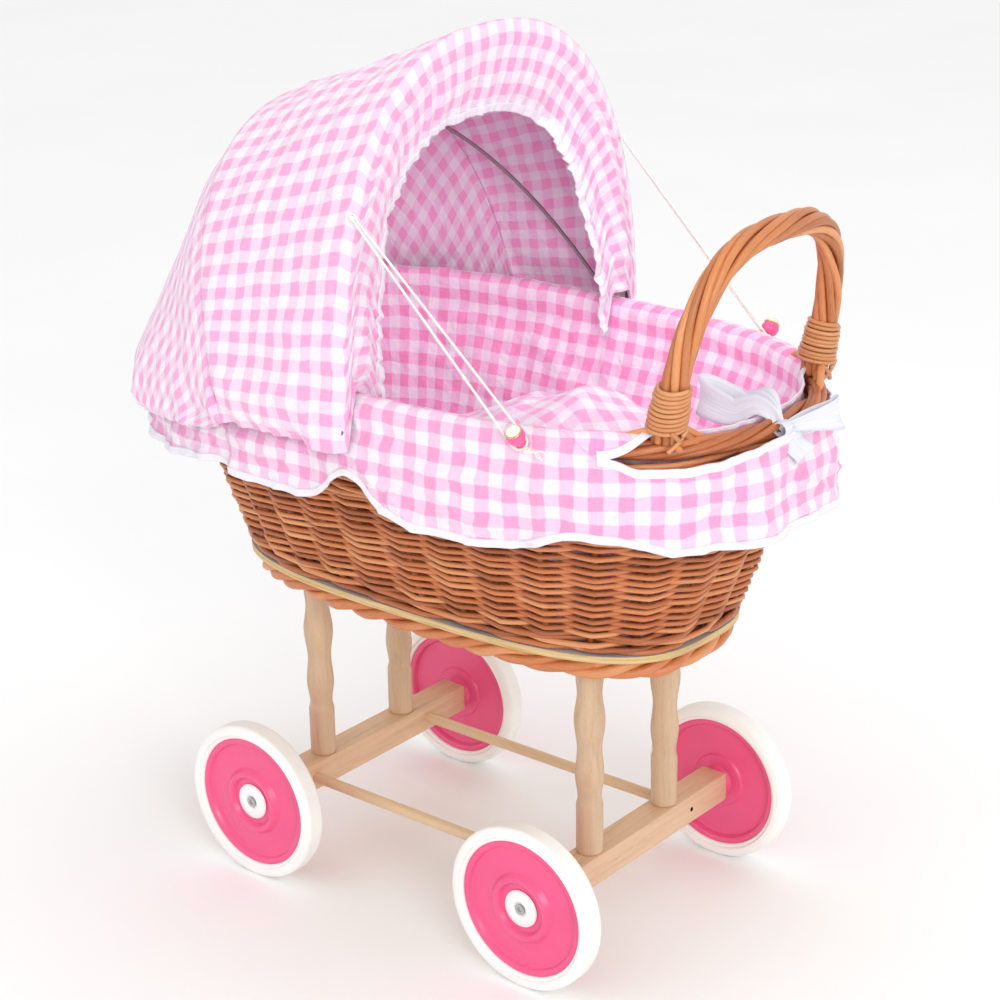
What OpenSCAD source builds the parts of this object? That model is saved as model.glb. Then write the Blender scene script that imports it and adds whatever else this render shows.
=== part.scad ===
// Wicker doll pram: woven basket with a fabric liner and folding hood on a turned wooden chassis.
// Millimetres. +X points to the handle end, +Y to the right-hand side, +Z up. The origin is the point
// on the ground midway between the four wheels.

/* [Wheels] */
// Outer diameter of a tyre
wheel_d = 125; // [110:1:140]
// Overall width of a tyre
tyre_w = 18.6; // [16:0.2:20]
// Distance between the hood-end and handle-end axles
wheelbase = 264.4; // [240:0.2:290]
// Distance between the wheel mid-planes of one axle
track = 244.8; // [236:0.2:260]
// Diameter of the moulded disc that is seen inside a tyre
disc_d = 104; // [96:1:108]

/* [Chassis] */
// Side of the square axle beams
beam_s = 22.6; // [20:0.2:26]
// Diameter of the turned legs' plain ends
leg_d = 20; // [18:0.5:24]
// Distance between the two legs of one beam
leg_gap = 93.4; // [80:0.2:110]
// Diameter of the two long dowels
dowel_d = 8.4; // [6:0.2:10]
// Distance between the two long dowels
dowel_gap = 135.6; // [120:0.2:150]
// Height of the underside of the base board above the ground
board_z = 243; // [230:1:260]

/* [Basket] */
// Half length of the base board
base_a = 203; // [180:1:220]
// Half width of the base board
base_b = 99; // [90:1:110]
// Half length of the rim, to the middle of its border
rim_a = 257; // [240:1:270]
// Half width of the rim, to the middle of its border
rim_b = 148; // [140:1:156]
// Height of the top of the woven wall
wall_top = 407; // [395:1:415]
// Number of upright stakes
stake_count = 30; // [24:2:48]

/* [Handle] */
// Half of the handle's span at its feet
handle_half = 90; // [80:1:100]
// Height of the handle's arch above its feet
handle_rise = 128; // [110:1:150]
// Outward lean of the handle, degrees
handle_lean = 11.6; // [5:0.2:16]
// Number of twisted rods
rod_count = 8; // [5:1:9]
// Diameter of one twisted rod
rod_d = 5.2; // [5:0.2:8]

/* [Hood] */
// Half span of the front hoop at its pivots
hoop_half = 165.5; // [160:0.5:170]
// Height of the front hoop above its pivots
front_rise = 249; // [220:1:260]
// Height of the rear hoop along its own plane
rear_rise = 234; // [200:1:238]
// Backward lean of the rear hoop, degrees
rear_lean = 42; // [30:1:50]
// Wire diameter of the hoops
wire_d = 3; // [2:0.5:4]

/* [Hidden] */
$fn = 64;
wheel_r = wheel_d / 2;
disc_r = disc_d / 2;
board_t = 5;
board_top = board_z + board_t;
beam_end = 115;
washer_t = 0.8;
gap = 0.3;
axle_x = wheelbase / 2;
wheel_y = track / 2;
beam_top = wheel_r + beam_s / 2;
base_n = 3;
rim_n = 2.5;
border_z = 415.5;
border_h = 15;
border_w = 14;
rim_top = 427.5;
hem_z = 350;
cut_angle = 44;
loop_steps = 72;
foot_z = border_z + border_h / 2 - 1.5;
foot_x = 224;
pivot_x = 9;
pivot_z = 405;
wrap_turns = 9;
wrap_rod_d = 2.9;
bead_x = 150;
bead_lean = 35;
eyelet = [15, 150, 550];
stay_d = 1.6;

// ---- curves and closed meshes ------------------------------------------------------------------

function unit(v) = v / norm(v);
function signed_pow(v, e) = sign(v) * pow(abs(v), e);
// Point of a rounded oval with half axes a and b, at angle t.
function oval(a, b, n, t) = [a * signed_pow(cos(t), 2 / n), b * signed_pow(sin(t), 2 / n)];
function loop_angles(steps = loop_steps) = [for (k = [0:steps - 1]) 360 * k / steps];
function lerp(p, q, u) = p * (1 - u) + q * u;

// Point of the basket wall: h from 0 at its foot to 1 at its top, d outwards from its middle.
function wall_xy(h, d, t) =
    lerp(oval(base_a - 7 + d, base_b - 7 + d, base_n, t), oval(rim_a + d, rim_b + d, rim_n, t), h);
function wall_point(h, d, t) = concat(wall_xy(h, d, t), [lerp(board_top + gap, wall_top, h)]);
function rim_point(d, z, t) = concat(oval(rim_a + d, rim_b + d, rim_n, t), [z]);

// Point of an arch whose feet are at (x, -half) and (x, +half) at height z, leaning back by lean.
function arch_point(x, z, half, rise, lean, e, t) =
    [x - rise * signed_pow(sin(t), 2 / e) * sin(lean), -half * signed_pow(cos(t), 2 / e),
     z + rise * signed_pow(sin(t), 2 / e) * cos(lean)];

// Triangles between rings of n points each; ring k is followed by ring k + 1.
function skin(n, count, closed) =
    [for (k = [0:count - (closed ? 1 : 2)]) for (i = [0:n - 1])
        let (a = k * n + i, b = k * n + (i + 1) % n,
             c = ((k + 1) % count) * n + (i + 1) % n, d = ((k + 1) % count) * n + i)
        each [[a, b, c], [a, c, d]]];
module sweep(rings, closed = false) {
    n = len(rings[0]);
    count = len(rings);
    ends = closed ? [] : [[for (i = [n - 1:-1:0]) i], [for (i = [0:n - 1]) (count - 1) * n + i]];
    polyhedron([for (ring = rings) each ring], concat(skin(n, count, closed), ends), 10);
}

// Round tube along path; across is any direction that is never along the path.
function tangent(path, k) = unit(path[min(k + 1, len(path) - 1)] - path[max(k - 1, 0)]);
function tube_ring(path, k, r, sides, across) =
    let (t = tangent(path, k), u = unit(cross(t, across)), v = cross(u, t))
    [for (i = [0:sides - 1]) path[k] + r * (cos(360 * i / sides) * u + sin(360 * i / sides) * v)];
module tube(path, r, sides, across) {
    sweep([for (k = [0:len(path) - 1]) tube_ring(path, k, r, sides, across)]);
}
// The same tube closed on itself.
module ring_tube(path, r, sides) {
    n = len(path);
    sweep([for (k = [0:n - 1])
        let (t = unit(path[(k + 1) % n] - path[(k + n - 1) % n]), u = unit(cross(t, [0, 0, 1])),
             v = cross(u, t))
        [for (i = [0:sides - 1]) path[k] + r * (cos(360 * i / sides) * u + sin(360 * i / sides) * v)]],
        closed = true);
}

// Thin closed shell between an outer and an inner grid of points, both as rows of columns.
module shell(outer, inner) {
    rows = len(outer);
    cols = len(outer[0]);
    half = rows * cols;
    function at(r, c) = r * cols + c;
    function inside(r, c) = half + at(r, c);
    sheets = [for (r = [0:rows - 2]) for (c = [0:cols - 2]) each [
        [at(r, c), at(r + 1, c), at(r + 1, c + 1)], [at(r, c), at(r + 1, c + 1), at(r, c + 1)],
        [inside(r, c), inside(r + 1, c + 1), inside(r + 1, c)],
        [inside(r, c), inside(r, c + 1), inside(r + 1, c + 1)]]];
    first_last = [for (c = [0:cols - 2]) let (z = rows - 1) each [
        [at(0, c), at(0, c + 1), inside(0, c + 1)], [at(0, c), inside(0, c + 1), inside(0, c)],
        [at(z, c + 1), at(z, c), inside(z, c)], [at(z, c + 1), inside(z, c), inside(z, c + 1)]]];
    sides = [for (r = [0:rows - 2]) let (z = cols - 1) each [
        [at(r + 1, 0), at(r, 0), inside(r, 0)], [at(r + 1, 0), inside(r, 0), inside(r + 1, 0)],
        [at(r, z), at(r + 1, z), inside(r + 1, z)], [at(r, z), inside(r + 1, z), inside(r, z)]]];
    polyhedron(concat([for (row = outer) each row], [for (row = inner) each row]),
        concat(sheets, first_last, sides), 10);
}

module at_wheel(end, side) {
    translate([end * axle_x, side * wheel_y, wheel_r]) rotate([side > 0 ? -90 : 90, 0, 0]) children();
}
module each_wheel() {
    for (end = [-1, 1]) for (side = [-1, 1]) at_wheel(end, side) children();
}

// ---- wheels: profiles are [radius, distance outwards from the mid-plane] ------------------------

module tyre() {
    half = tyre_w / 2;
    crown = wheel_r - 7;
    seat = disc_r - 1.5;
    side = [for (a = [90:-15:0]) [crown + 7 * cos(a), (half - 4.3) + 4.3 * sin(a)]];
    profile = concat([[seat, 4.4], [disc_r, 4.4], [disc_r, 6.2], [disc_r + 0.8, 7.2], [disc_r + 2.2, 7.4],
        [disc_r + 2.8, half - 0.6]], side);
    mirrored = [for (k = [len(profile) - 1:-1:0]) [profile[k][0], -profile[k][1]]];
    color("whitesmoke") rotate_extrude() polygon(concat(profile, mirrored));
}

module disc() {
    seat = disc_r - 1.5;
    front = [[9, 4.2], [18.6, 4.2], [20.4, 7.2], [22.4, 8.2], [24.2, 7.4], [27, 3.8], [36, 2.6], [44.6, 2.4],
        [46.4, 3.2], [47.6, 5.2], [49, 5.8], [disc_r - 0.8, 5.8], [disc_r, 5.2], [disc_r, 4.4], [seat, 4.4]];
    back = [[seat, -4.4], [disc_r, -4.4], [disc_r, -5.2], [disc_r - 0.8, -5.8], [49, -5.8], [47.6, -5],
        [46, -1.4], [44, -0.8], [22, -0.8], [20.8, -2.4], [12.4, -2.4], [10, -6.2]];
    bore = 6.06;
    color("hotpink") rotate_extrude()
        polygon(concat([[bore, 4.2]], front, back, [[bore, -6.2]]));
}

// Flanged bush that the screw clamps to the beam; the disc turns on its sleeve.
module bush() {
    sleeve_r = 6;
    flange_r = 14.2;
    sleeve_end = -(wheel_y - beam_end - washer_t);
    color("white") rotate_extrude() polygon([[2.5, sleeve_end], [sleeve_r, sleeve_end], [sleeve_r, 4.5],
        [flange_r - 0.6, 4.5], [flange_r, 5.1], [flange_r - 0.6, 6.1], [11, 7.2], [8, 7.6], [6.4, 7.4],
        [5.2, 6.4], [4.4, 5.2], [2.5, 5.2]]);
}

module axle_screws() {
    shank = 2.5;
    head_r = 3.9;
    color("silver") each_wheel() difference() {
        union() {
            translate([0, 0, 5.2]) cylinder(h = 1.6, r = head_r);
            translate([0, 0, 5.2 - 42]) cylinder(h = 42, r = shank);
        }
        for (a = [0, 60, 120]) rotate(a) translate([-2, -0.6, 6]) cube([4, 1.2, 2]);
    }
}

module axle_washers() {
    color("gainsboro") each_wheel() translate([0, 0, -(wheel_y - beam_end)]) difference() {
        cylinder(h = washer_t, r = 8);
        translate([0, 0, -1]) cylinder(h = 4, r = 2.5);
    }
}

// ---- chassis ------------------------------------------------------------------------------------

module at_nail(end, side) {
    translate([end * (axle_x + beam_s / 2), side * dowel_gap / 2, wheel_r]) rotate([0, -end * 90, 0])
        children();
}
module axle_beam(end) {
    color("burlywood") difference() {
        translate([end * axle_x - beam_s / 2, -beam_end, wheel_r - beam_s / 2])
            cube([beam_s, 2 * beam_end, beam_s]);
        for (side = [-1, 1]) {
            at_wheel(end, side) translate([0, 0, -(wheel_y - beam_end) - 31]) cylinder(h = 32, r = 2.5);
            translate([end * axle_x, side * leg_gap / 2, 0]) cylinder(h = 200, r = 1.75);
            translate([end * axle_x, side * leg_gap / 2, wheel_r - beam_s / 2 - 1])
                cylinder(h = 1 + 3.5, r = 3.5);
            translate([end * (axle_x - beam_s / 2 + 12), side * dowel_gap / 2, wheel_r])
                rotate([0, -end * 90, 0]) cylinder(h = 20, r = dowel_d / 2);
            at_nail(end, side) cylinder(h = 12, r = 0.8);
            at_nail(end, side) translate([0, 0, -1]) cylinder(h = 1.6, r = 1.8);
        }
    }
}

module stretcher(side) {
    reach = axle_x - beam_s / 2 + 12;
    color("wheat") translate([-reach, side * dowel_gap / 2, wheel_r]) rotate([0, 90, 0])
        cylinder(h = 2 * reach, r = dowel_d / 2);
}

// Radius of a turned leg at height u above its foot, as waists and beads joined by smooth waves.
leg_marks = [[0, 0], [38, 0], [44, -1.25], [62, 0.65], [83, -0.85], [106, 1.45], [127, -0.85], [140, 0.1]];
function leg_wave(u, k = 0) =
    k >= len(leg_marks) - 1 ? leg_marks[len(leg_marks) - 1][1] :
    u <= leg_marks[k + 1][0] ?
        let (s = (u - leg_marks[k][0]) / (leg_marks[k + 1][0] - leg_marks[k][0]))
        lerp(leg_marks[k][1], leg_marks[k + 1][1], (1 - cos(180 * s)) / 2) :
        leg_wave(u, k + 1);
module leg(end, side) {
    length = board_z - beam_top;
    steps = [for (u = [0:4:length - 0.5]) u];
    outline = concat([[0, 0]], [for (u = steps) [leg_d / 2 + leg_wave(u), u]],
        [[leg_d / 2, length], [0, length]]);
    color("wheat") translate([end * axle_x, side * leg_gap / 2, beam_top]) difference() {
        rotate_extrude(convexity = 4) polygon(outline);
        translate([0, 0, -1]) cylinder(h = 27, r = 1.75);
        translate([0, 0, length - 28]) cylinder(h = 30, r = 1.75);
    }
}

module each_leg() {
    for (end = [-1, 1]) for (side = [-1, 1]) translate([end * axle_x, side * leg_gap / 2, 0]) children();
}
module leg_screws() {
    bottom = wheel_r - beam_s / 2;
    color("silver") each_leg() {
        translate([0, 0, bottom + 0.4]) cylinder(h = 3.1, r = 3.5);
        translate([0, 0, bottom + 3.5]) cylinder(h = beam_s - 3.5 + 25, r = 1.75);
    }
}
module board_screws() {
    color("silver") each_leg() {
        translate([0, 0, board_top - 2]) cylinder(h = 2, r = 3.5);
        translate([0, 0, board_top - 32]) cylinder(h = 30, r = 1.75);
    }
}
module dowel_nails() {
    color("dimgray") for (end = [-1, 1]) for (side = [-1, 1]) at_nail(end, side) {
        cylinder(h = 18, r = 0.8);
        cylinder(h = 0.6, r = 1.8);
    }
}

// ---- basket -------------------------------------------------------------------------------------

module base_board() {
    color("khaki") difference() {
        translate([0, 0, board_z]) linear_extrude(board_t)
            polygon([for (t = loop_angles(96)) oval(base_a, base_b, base_n, t)]);
        each_leg() cylinder(h = 400, r = 1.75);
        each_leg() translate([0, 0, board_top - 2]) cylinder(h = 3, r = 3.5);
    }
}

module foot_border() {
    section = [[1, -15.5], [4, -9], [2.5, -1.5], [-1, -gap], [-6, -gap], [-9, -6], [-8, -13], [-3.5, -17]];
    color("peru") sweep([for (t = loop_angles())
        [for (s = section) concat(oval(base_a - 8 + s[0], base_b - 8 + s[0], base_n, t), [board_z + s[1]])]],
        closed = true);
}

module basket_stakes() {
    inset = -5.4;
    stake_r = 1.9;
    color("sienna") for (k = [0:stake_count - 1]) {
        t = 360 * (k + 0.5) / stake_count;
        foot = wall_point(0.02, inset, t);
        top = wall_point(0.985, inset, t);
        length = norm(top - foot);
        dir = (top - foot) / length;
        translate(foot) rotate([0, acos(dir[2]), atan2(dir[1], dir[0])])
            cylinder(h = length, r = stake_r, $fn = 16);
    }
}

module basket_wall() {
    levels = 4;
    outer = [for (k = [0:levels]) [k / levels, 2.5]];
    inner = [for (k = [levels:-1:0]) [k / levels, -2.5]];
    color("peru") sweep([for (t = loop_angles()) [for (s = concat(outer, inner)) wall_point(s[0], s[1], t)]],
        closed = true);
}

module rim_border() {
    color("chocolate") sweep([for (t = loop_angles())
        [for (i = [0:9]) rim_point(border_w / 2 * cos(36 * i), border_z + border_h / 2 * sin(36 * i), t)]],
        closed = true);
}

// ---- handle -------------------------------------------------------------------------------------

handle_steps = 44;
function handle_point(t) = arch_point(foot_x, foot_z, handle_half, handle_rise, -handle_lean, 3, t);
handle_path = [for (k = [0:handle_steps]) handle_point(180 * k / handle_steps)];
handle_across = [cos(handle_lean), 0, -sin(handle_lean)];
twist_r = rod_d / 2 / sin(180 / rod_count) + 0.15;
twist_turns = 1.5;
function twisted(k, phase) =
    let (t = tangent(handle_path, k), u = unit(cross(t, handle_across)), v = cross(u, t),
         a = phase + 360 * twist_turns * k / handle_steps)
    handle_path[k] + twist_r * (cos(a) * u + sin(a) * v);

module handle_core() {
    drop = 10 * [sin(handle_lean), 0, cos(handle_lean)];
    last = handle_path[handle_steps];
    color("saddlebrown")
        tube(concat([handle_path[0] - drop], handle_path, [last - drop]), 4, 8, handle_across);
}
module handle_rods() {
    color("peru") for (j = [0:rod_count - 1])
        tube([for (k = [0:handle_steps]) twisted(k, 360 * j / rod_count)], rod_d / 2 - 0.25, 6,
            handle_across);
}
module handle_wrap(side) {
    bundle_r = twist_r + rod_d / 2 - 0.2;
    base = handle_point(side < 0 ? 0 : 180);
    up = unit([sin(handle_lean), 0, cos(handle_lean)]);
    color("burlywood") translate(base + up * 9) rotate([0, handle_lean, 0])
        for (k = [0:wrap_turns - 1]) translate([0, 0, k * (wrap_rod_d + 0.1)]) rotate_extrude()
            translate([bundle_r + wrap_rod_d / 2, 0]) circle(d = wrap_rod_d, $fn = 16);
}

// ---- fabric liner -------------------------------------------------------------------------------

module lining() {
    top = wall_top - 2.5;
    h_top = 0.97;
    floor_z = board_top + 0.1;
    outer_d = -8.2;
    thick = 1.4;
    function side(h, d, t) = let (p = wall_xy(h, d, t)) [p[0], p[1], lerp(floor_z, top, h)];
    rings = concat([for (h = [0:0.25:1]) [for (t = loop_angles()) side(h, outer_d, t)]],
        [for (h = [1:-0.25:0]) [for (t = loop_angles())
            let (p = side(h, outer_d - thick, t)) [p[0], p[1], p[2] + (h == 0 ? thick : 0)]]]);
    n = loop_steps;
    count = len(rings);
    floors = [[for (i = [0:n - 1]) i], [for (i = [n - 1:-1:0]) (count - 1) * n + i]];
    color("pink") polyhedron([for (ring = rings) each ring],
        concat([for (f = skin(n, count, false)) [f[2], f[1], f[0]]], floors), 10);
}

// The liner's fold over the rim: an upside-down U that stops at the handle's cut-out.
module rim_roll() {
    outside = [[9.9, 403], [10.6, 412], [9.8, 420.5], [6, 425.8], [0, rim_top], [-6, 425.8], [-9.8, 420.5],
        [-10.4, 412], [-9.9, 406]];
    inside = [[-8.4, 406], [-8.9, 412], [-8.3, 419.6], [-5, 424.1], [0, 425.6], [5, 424.1], [8.3, 419.6],
        [9.1, 412], [8.4, 403]];
    steps = 58;
    color("pink") sweep([for (k = [0:steps])
        let (t = cut_angle + (360 - 2 * cut_angle) * k / steps)
        [for (s = concat(outside, inside)) rim_point(s[0], s[1], t)]]);
}

module skirt() {
    hem = hem_z + 2.6;
    section = [[13.6, hem], [12.6, 375], [10.4, 402.9], [8.6, 402.9], [10.8, 375], [11.8, hem]];
    color("pink") sweep([for (t = loop_angles()) [for (s = section) rim_point(s[0], s[1], t)]],
        closed = true);
}

module skirt_binding() {
    section = [[13.9, hem_z - 2.4], [13.7, hem_z + 2.4], [11.7, hem_z + 2.4], [11.5, hem_z - 2.4]];
    color("white") sweep([for (t = loop_angles()) [for (s = section) rim_point(s[0], s[1], t)]],
        closed = true);
}

// White tape round the handle's cut-out: one strip on the skirt's edge, one on the lining's.
module cutout_binding() {
    outer = [[12, 402.4], [12, 407], [9.8, 407], [9.8, 402.4]];
    inner = [[-8.2, 405.4], [-8.2, 410], [-10, 410], [-10, 405.4]];
    steps = 20;
    reach = cut_angle - 2;
    color("white") for (section = [outer, inner])
        sweep([for (k = [0:steps]) let (t = -reach + 2 * reach * k / steps)
            [for (s = section) rim_point(s[0], s[1], t)]]);
}

module ribbon_bow() {
    knot = rim_point(15.1, 409, 8);
    wing = [34, 1.6, 17];
    color("white") translate(knot) {
        rotate([90, 0, 0]) cylinder(h = 9, r = 3.2, center = true);
        for (s = [-1, 1]) {
            translate([0, s * 4.8, 0]) rotate([s * 8, 0, 0]) translate([-wing[1] / 2, s < 0 ? -wing[0] : 0,
                -wing[2] / 2]) cube([wing[1], wing[0], wing[2]]);
        }
    }
}

// ---- bedding ------------------------------------------------------------------------------------

module slab(a, b, n, z) {
    translate([0, 0, z]) linear_extrude(1) polygon([for (t = loop_angles(40)) oval(a, b, n, t)]);
}
module cushion(a, b, n, h, edge) {
    hull() {
        slab(a - edge, b - edge, n, 0);
        slab(a, b, n, h / 2 - 0.5);
        slab(a - edge, b - edge, n, h - 1);
    }
}
mattress_z = board_top + 1.6;
mattress_h = 26;
module mattress() {
    color("lavenderblush") translate([0, 0, mattress_z])
        cushion(base_a - 22, base_b - 22, base_n, mattress_h, 4);
}
module pillow() {
    color("pink") translate([-118, 0, mattress_z + mattress_h + gap]) cushion(58, 74, 3.4, 36, 8);
}
module duvet() {
    z = mattress_z + mattress_h + gap;
    color("pink") translate([64, 0, z]) hull() {
        slab(116, 84, 3, 0);
        slab(126, 98, 2.8, 60);
        slab(108, 80, 2.6, 100);
        slab(60, 44, 2.2, 122);
    }
}

// ---- hood ---------------------------------------------------------------------------------------

pin_r = 1.6;
eye_bore = pin_r + 0.06;
eye_w = 3;
rear_half = hoop_half - 4;
hoop_e = 2.45;

module hood_pivot_pins() {
    start = rim_b + 2;
    reach = hoop_half + eye_w / 2 + 0.6 - start;
    color("silver") for (side = [-1, 1]) translate([pivot_x, side * start, pivot_z])
        rotate([side > 0 ? -90 : 90, 0, 0]) {
            cylinder(h = reach, r = pin_r);
            translate([0, 0, reach]) cylinder(h = 1.4, r = 4);
        }
}

// A wire hoop with a flat eye round each pivot pin.
module hoop(half, rise, lean) {
    steps = 40;
    start_r = 5;
    first = asin(pow(start_r / rise, hoop_e / 2));
    for (side = [-1, 1]) translate([pivot_x, side * half, pivot_z]) rotate([90, 0, 0]) difference() {
        cylinder(h = eye_w, r = 5.2, center = true);
        cylinder(h = eye_w + 2, r = eye_bore, center = true);
    }
    tube([for (k = [0:steps])
        arch_point(pivot_x, pivot_z, half, rise, lean, hoop_e, first + (180 - 2 * first) * k / steps)],
        wire_d / 2, 8, [cos(lean), 0, sin(lean)]);
}
module front_hoop() {
    color("slategray") hoop(hoop_half, front_rise, 0);
}
module rear_hoop() {
    color("slategray") hoop(rear_half, rear_rise, rear_lean);
}

cover_t = 1.2;
cover_foot_z = 392;
cover_cols = 36;
cover_e = 2.45;
// One arch of the cover: feet at x, apex at (apex_x, apex_z), inset from the outer surface.
function cover_arch(x, half, apex_x, apex_z, inset, e = cover_e) =
    [for (k = [0:cover_cols]) let (t = 180 * k / cover_cols, s = signed_pow(sin(t), 2 / e))
        [lerp(x, apex_x + inset * sin(cover_lean(x, apex_x, apex_z)), s),
         -(half - inset) * signed_pow(cos(t), 2 / e),
         lerp(cover_foot_z, apex_z - inset * cos(cover_lean(x, apex_x, apex_z)), s)]];
function cover_lean(x, apex_x, apex_z) = atan2(x - apex_x, apex_z - cover_foot_z);

seam_x = -100;
seam_apex = [-152, 597];
front_apex_z = pivot_z + front_rise + wire_d / 2 + 1.4 + cover_t;
cover_half = hoop_half + wire_d / 2 + 2.4 + cover_t + 3;
module hood_cover_top() {
    rows = 6;
    function row(u, inset) = cover_arch(lerp(pivot_x + 2, seam_x + 0.4, u), cover_half,
        lerp(pivot_x + 2, seam_apex[0] + 0.4, u), lerp(front_apex_z, seam_apex[1], u), inset);
    color("pink") shell([for (r = [0:rows]) row(r / rows, 0)], [for (r = [0:rows]) row(r / rows, cover_t)]);
}

// The gathered rear cap: arches that fan backwards about the seam's feet down to the hem.
// Each arch: foot x, apex x, apex z, how far its feet stand in, and its squareness.
cap_marks = [[seam_x, -152, 597, 0, cover_e], [-103, -192, 557, 1, 2.2], [-108, -230, 502, 3, 2.1],
    [-114, -260, 445, 4, 2.2], [-122, -278, 405, 5, 2.35], [-130, -276, 372, 5, 2.45]];
module hood_cover_back() {
    function row(m, inset) = cover_arch(m[0], cover_half - m[3], m[1], m[2], inset, m[4]);
    color("pink") shell([for (m = cap_marks) row(m, 0)], [for (m = cap_marks) row(m, cover_t)]);
}

visor_x = pivot_x + wire_d / 2 + 1;
visor_t = 1.2;
// Across the visor: u is 0 at the hoop and 1 at the elastic edge.
function visor_arch(u, dx) =
    [for (k = [0:cover_cols]) let (t = 180 * k / cover_cols,
        outer = arch_point(visor_x, pivot_z, hoop_half + 1, front_rise + 1, 0, hoop_e, t),
        edge = arch_point(visor_x + 1, pivot_z - 19, 124, 205, 5, 2.6, t), p = lerp(outer, edge, u))
        [p[0] + dx, p[1], max(p[2], rim_top + 1.5) + (k == 0 || k == cover_cols ? 0 : 0.01 * k)]];
module visor() {
    rows = 3;
    color("pink") shell([for (r = [0:rows]) visor_arch(r / rows * 0.97, 0)],
        [for (r = [0:rows]) visor_arch(r / rows * 0.97, visor_t)]);
}
module visor_elastic() {
    path = [for (p = visor_arch(1, 0.6)) p];
    color("white") tube(path, 1.4, 6, [1, 0, 0]);
}

// ---- hood stays ---------------------------------------------------------------------------------

bead_r = 6.6;
neck_r = 3.4;
function bead_pos(side) = [bead_x, side * (rim_b + 1.5), rim_top - 1.5];
module at_bead(side) {
    translate(bead_pos(side)) rotate([-side * bead_lean, 0, 0]) children();
}
module bead(side) {
    color("deeppink") at_bead(side) difference() {
        union() {
            sphere(r = bead_r);
            translate([0, 0, -10.5]) cylinder(h = 6, r = neck_r);
        }
        cylinder(h = 40, r = 1.3, center = true);
        translate([0, 0, 5]) cylinder(h = 5, r = 3.2);
    }
}
module bead_pins() {
    color("gainsboro") for (side = [-1, 1]) at_bead(side) {
        translate([0, 0, -18]) cylinder(h = 23, r = 1.3);
        translate([0, 0, 5]) cylinder(h = 1.6, r = 3);
    }
}
// Doubled elastic from the eyelet on the front hoop to a loop round the bead's neck.
module stay(side) {
    axis = [0, side * sin(bead_lean), cos(bead_lean)];
    neck = bead_pos(side) - 7 * axis;
    top = [eyelet[0], side * eyelet[1], eyelet[2]];
    across = unit(cross(neck - top, axis));
    color("ivory") for (s = [-1, 1]) {
        far = neck + s * 5.6 * across;
        near = top + s * 0.9 * across;
        tube([near, lerp(near, far, 0.5), far], stay_d / 2, 8, [0, 1, 0]);
    }
    // The knot at the eyelet, about which the stay swings.
    color("ivory") translate(top) rotate([90, 0, 0]) cylinder(h = 3, r = 1.9, center = true);
}

at_wheel(1, -1) tyre();  // tyre_handle_left
at_wheel(1, 1) tyre();  // tyre_handle_right
at_wheel(-1, -1) tyre();  // tyre_hood_left
at_wheel(-1, 1) tyre();  // tyre_hood_right
at_wheel(1, -1) disc();  // disc_handle_left
at_wheel(1, 1) disc();  // disc_handle_right
at_wheel(-1, -1) disc();  // disc_hood_left
at_wheel(-1, 1) disc();  // disc_hood_right
at_wheel(1, -1) bush();  // bush_handle_left
at_wheel(1, 1) bush();  // bush_handle_right
at_wheel(-1, -1) bush();  // bush_hood_left
at_wheel(-1, 1) bush();  // bush_hood_right
axle_screws();
axle_washers();
axle_beam(1);  // axle_beam_handle
axle_beam(-1);  // axle_beam_hood
stretcher(-1);  // stretcher_left
stretcher(1);  // stretcher_right
leg(1, -1);  // leg_handle_left
leg(1, 1);  // leg_handle_right
leg(-1, -1);  // leg_hood_left
leg(-1, 1);  // leg_hood_right
leg_screws();
board_screws();
dowel_nails();
base_board();
foot_border();
basket_stakes();
basket_wall();
rim_border();
handle_core();
handle_rods();
handle_wrap(-1);  // handle_wrap_left
handle_wrap(1);  // handle_wrap_right
lining();
rim_roll();
skirt();
skirt_binding();
cutout_binding();
ribbon_bow();
mattress();
pillow();
duvet();
hood_pivot_pins();
front_hoop();
rear_hoop();
hood_cover_top();
hood_cover_back();
visor();
visor_elastic();
stay(-1);  // stay_left
stay(1);  // stay_right
bead(-1);  // bead_left
bead(1);  // bead_right
bead_pins();
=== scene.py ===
import math

import bpy
import numpy as np
from mathutils import Matrix, Vector


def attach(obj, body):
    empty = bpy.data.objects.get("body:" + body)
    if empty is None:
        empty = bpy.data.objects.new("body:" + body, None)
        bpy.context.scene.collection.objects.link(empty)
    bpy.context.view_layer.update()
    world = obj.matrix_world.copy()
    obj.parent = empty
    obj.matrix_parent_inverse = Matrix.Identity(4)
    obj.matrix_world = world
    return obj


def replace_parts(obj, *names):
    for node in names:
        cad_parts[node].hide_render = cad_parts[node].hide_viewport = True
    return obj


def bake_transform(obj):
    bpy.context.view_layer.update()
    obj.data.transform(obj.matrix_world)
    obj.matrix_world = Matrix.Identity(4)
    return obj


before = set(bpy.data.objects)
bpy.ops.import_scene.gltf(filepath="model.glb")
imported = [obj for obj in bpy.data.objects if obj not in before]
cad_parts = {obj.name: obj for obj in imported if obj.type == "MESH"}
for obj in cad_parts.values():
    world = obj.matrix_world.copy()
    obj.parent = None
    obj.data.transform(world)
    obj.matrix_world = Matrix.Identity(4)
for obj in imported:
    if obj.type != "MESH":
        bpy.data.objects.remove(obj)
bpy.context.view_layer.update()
MM = 0.001
rng = np.random.default_rng(11)
# yaw, pitch and roll in degrees; place in metres; lens in millimetres
CAMERA_ANGLES = (39.23, 20.69, -0.82)
CAMERA_PLACE = (1.0569, -1.2769, 0.9285)
CAMERA_LENS = 85.9

# ---- camera, lights and floor --------------------------------------------------------------------


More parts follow.
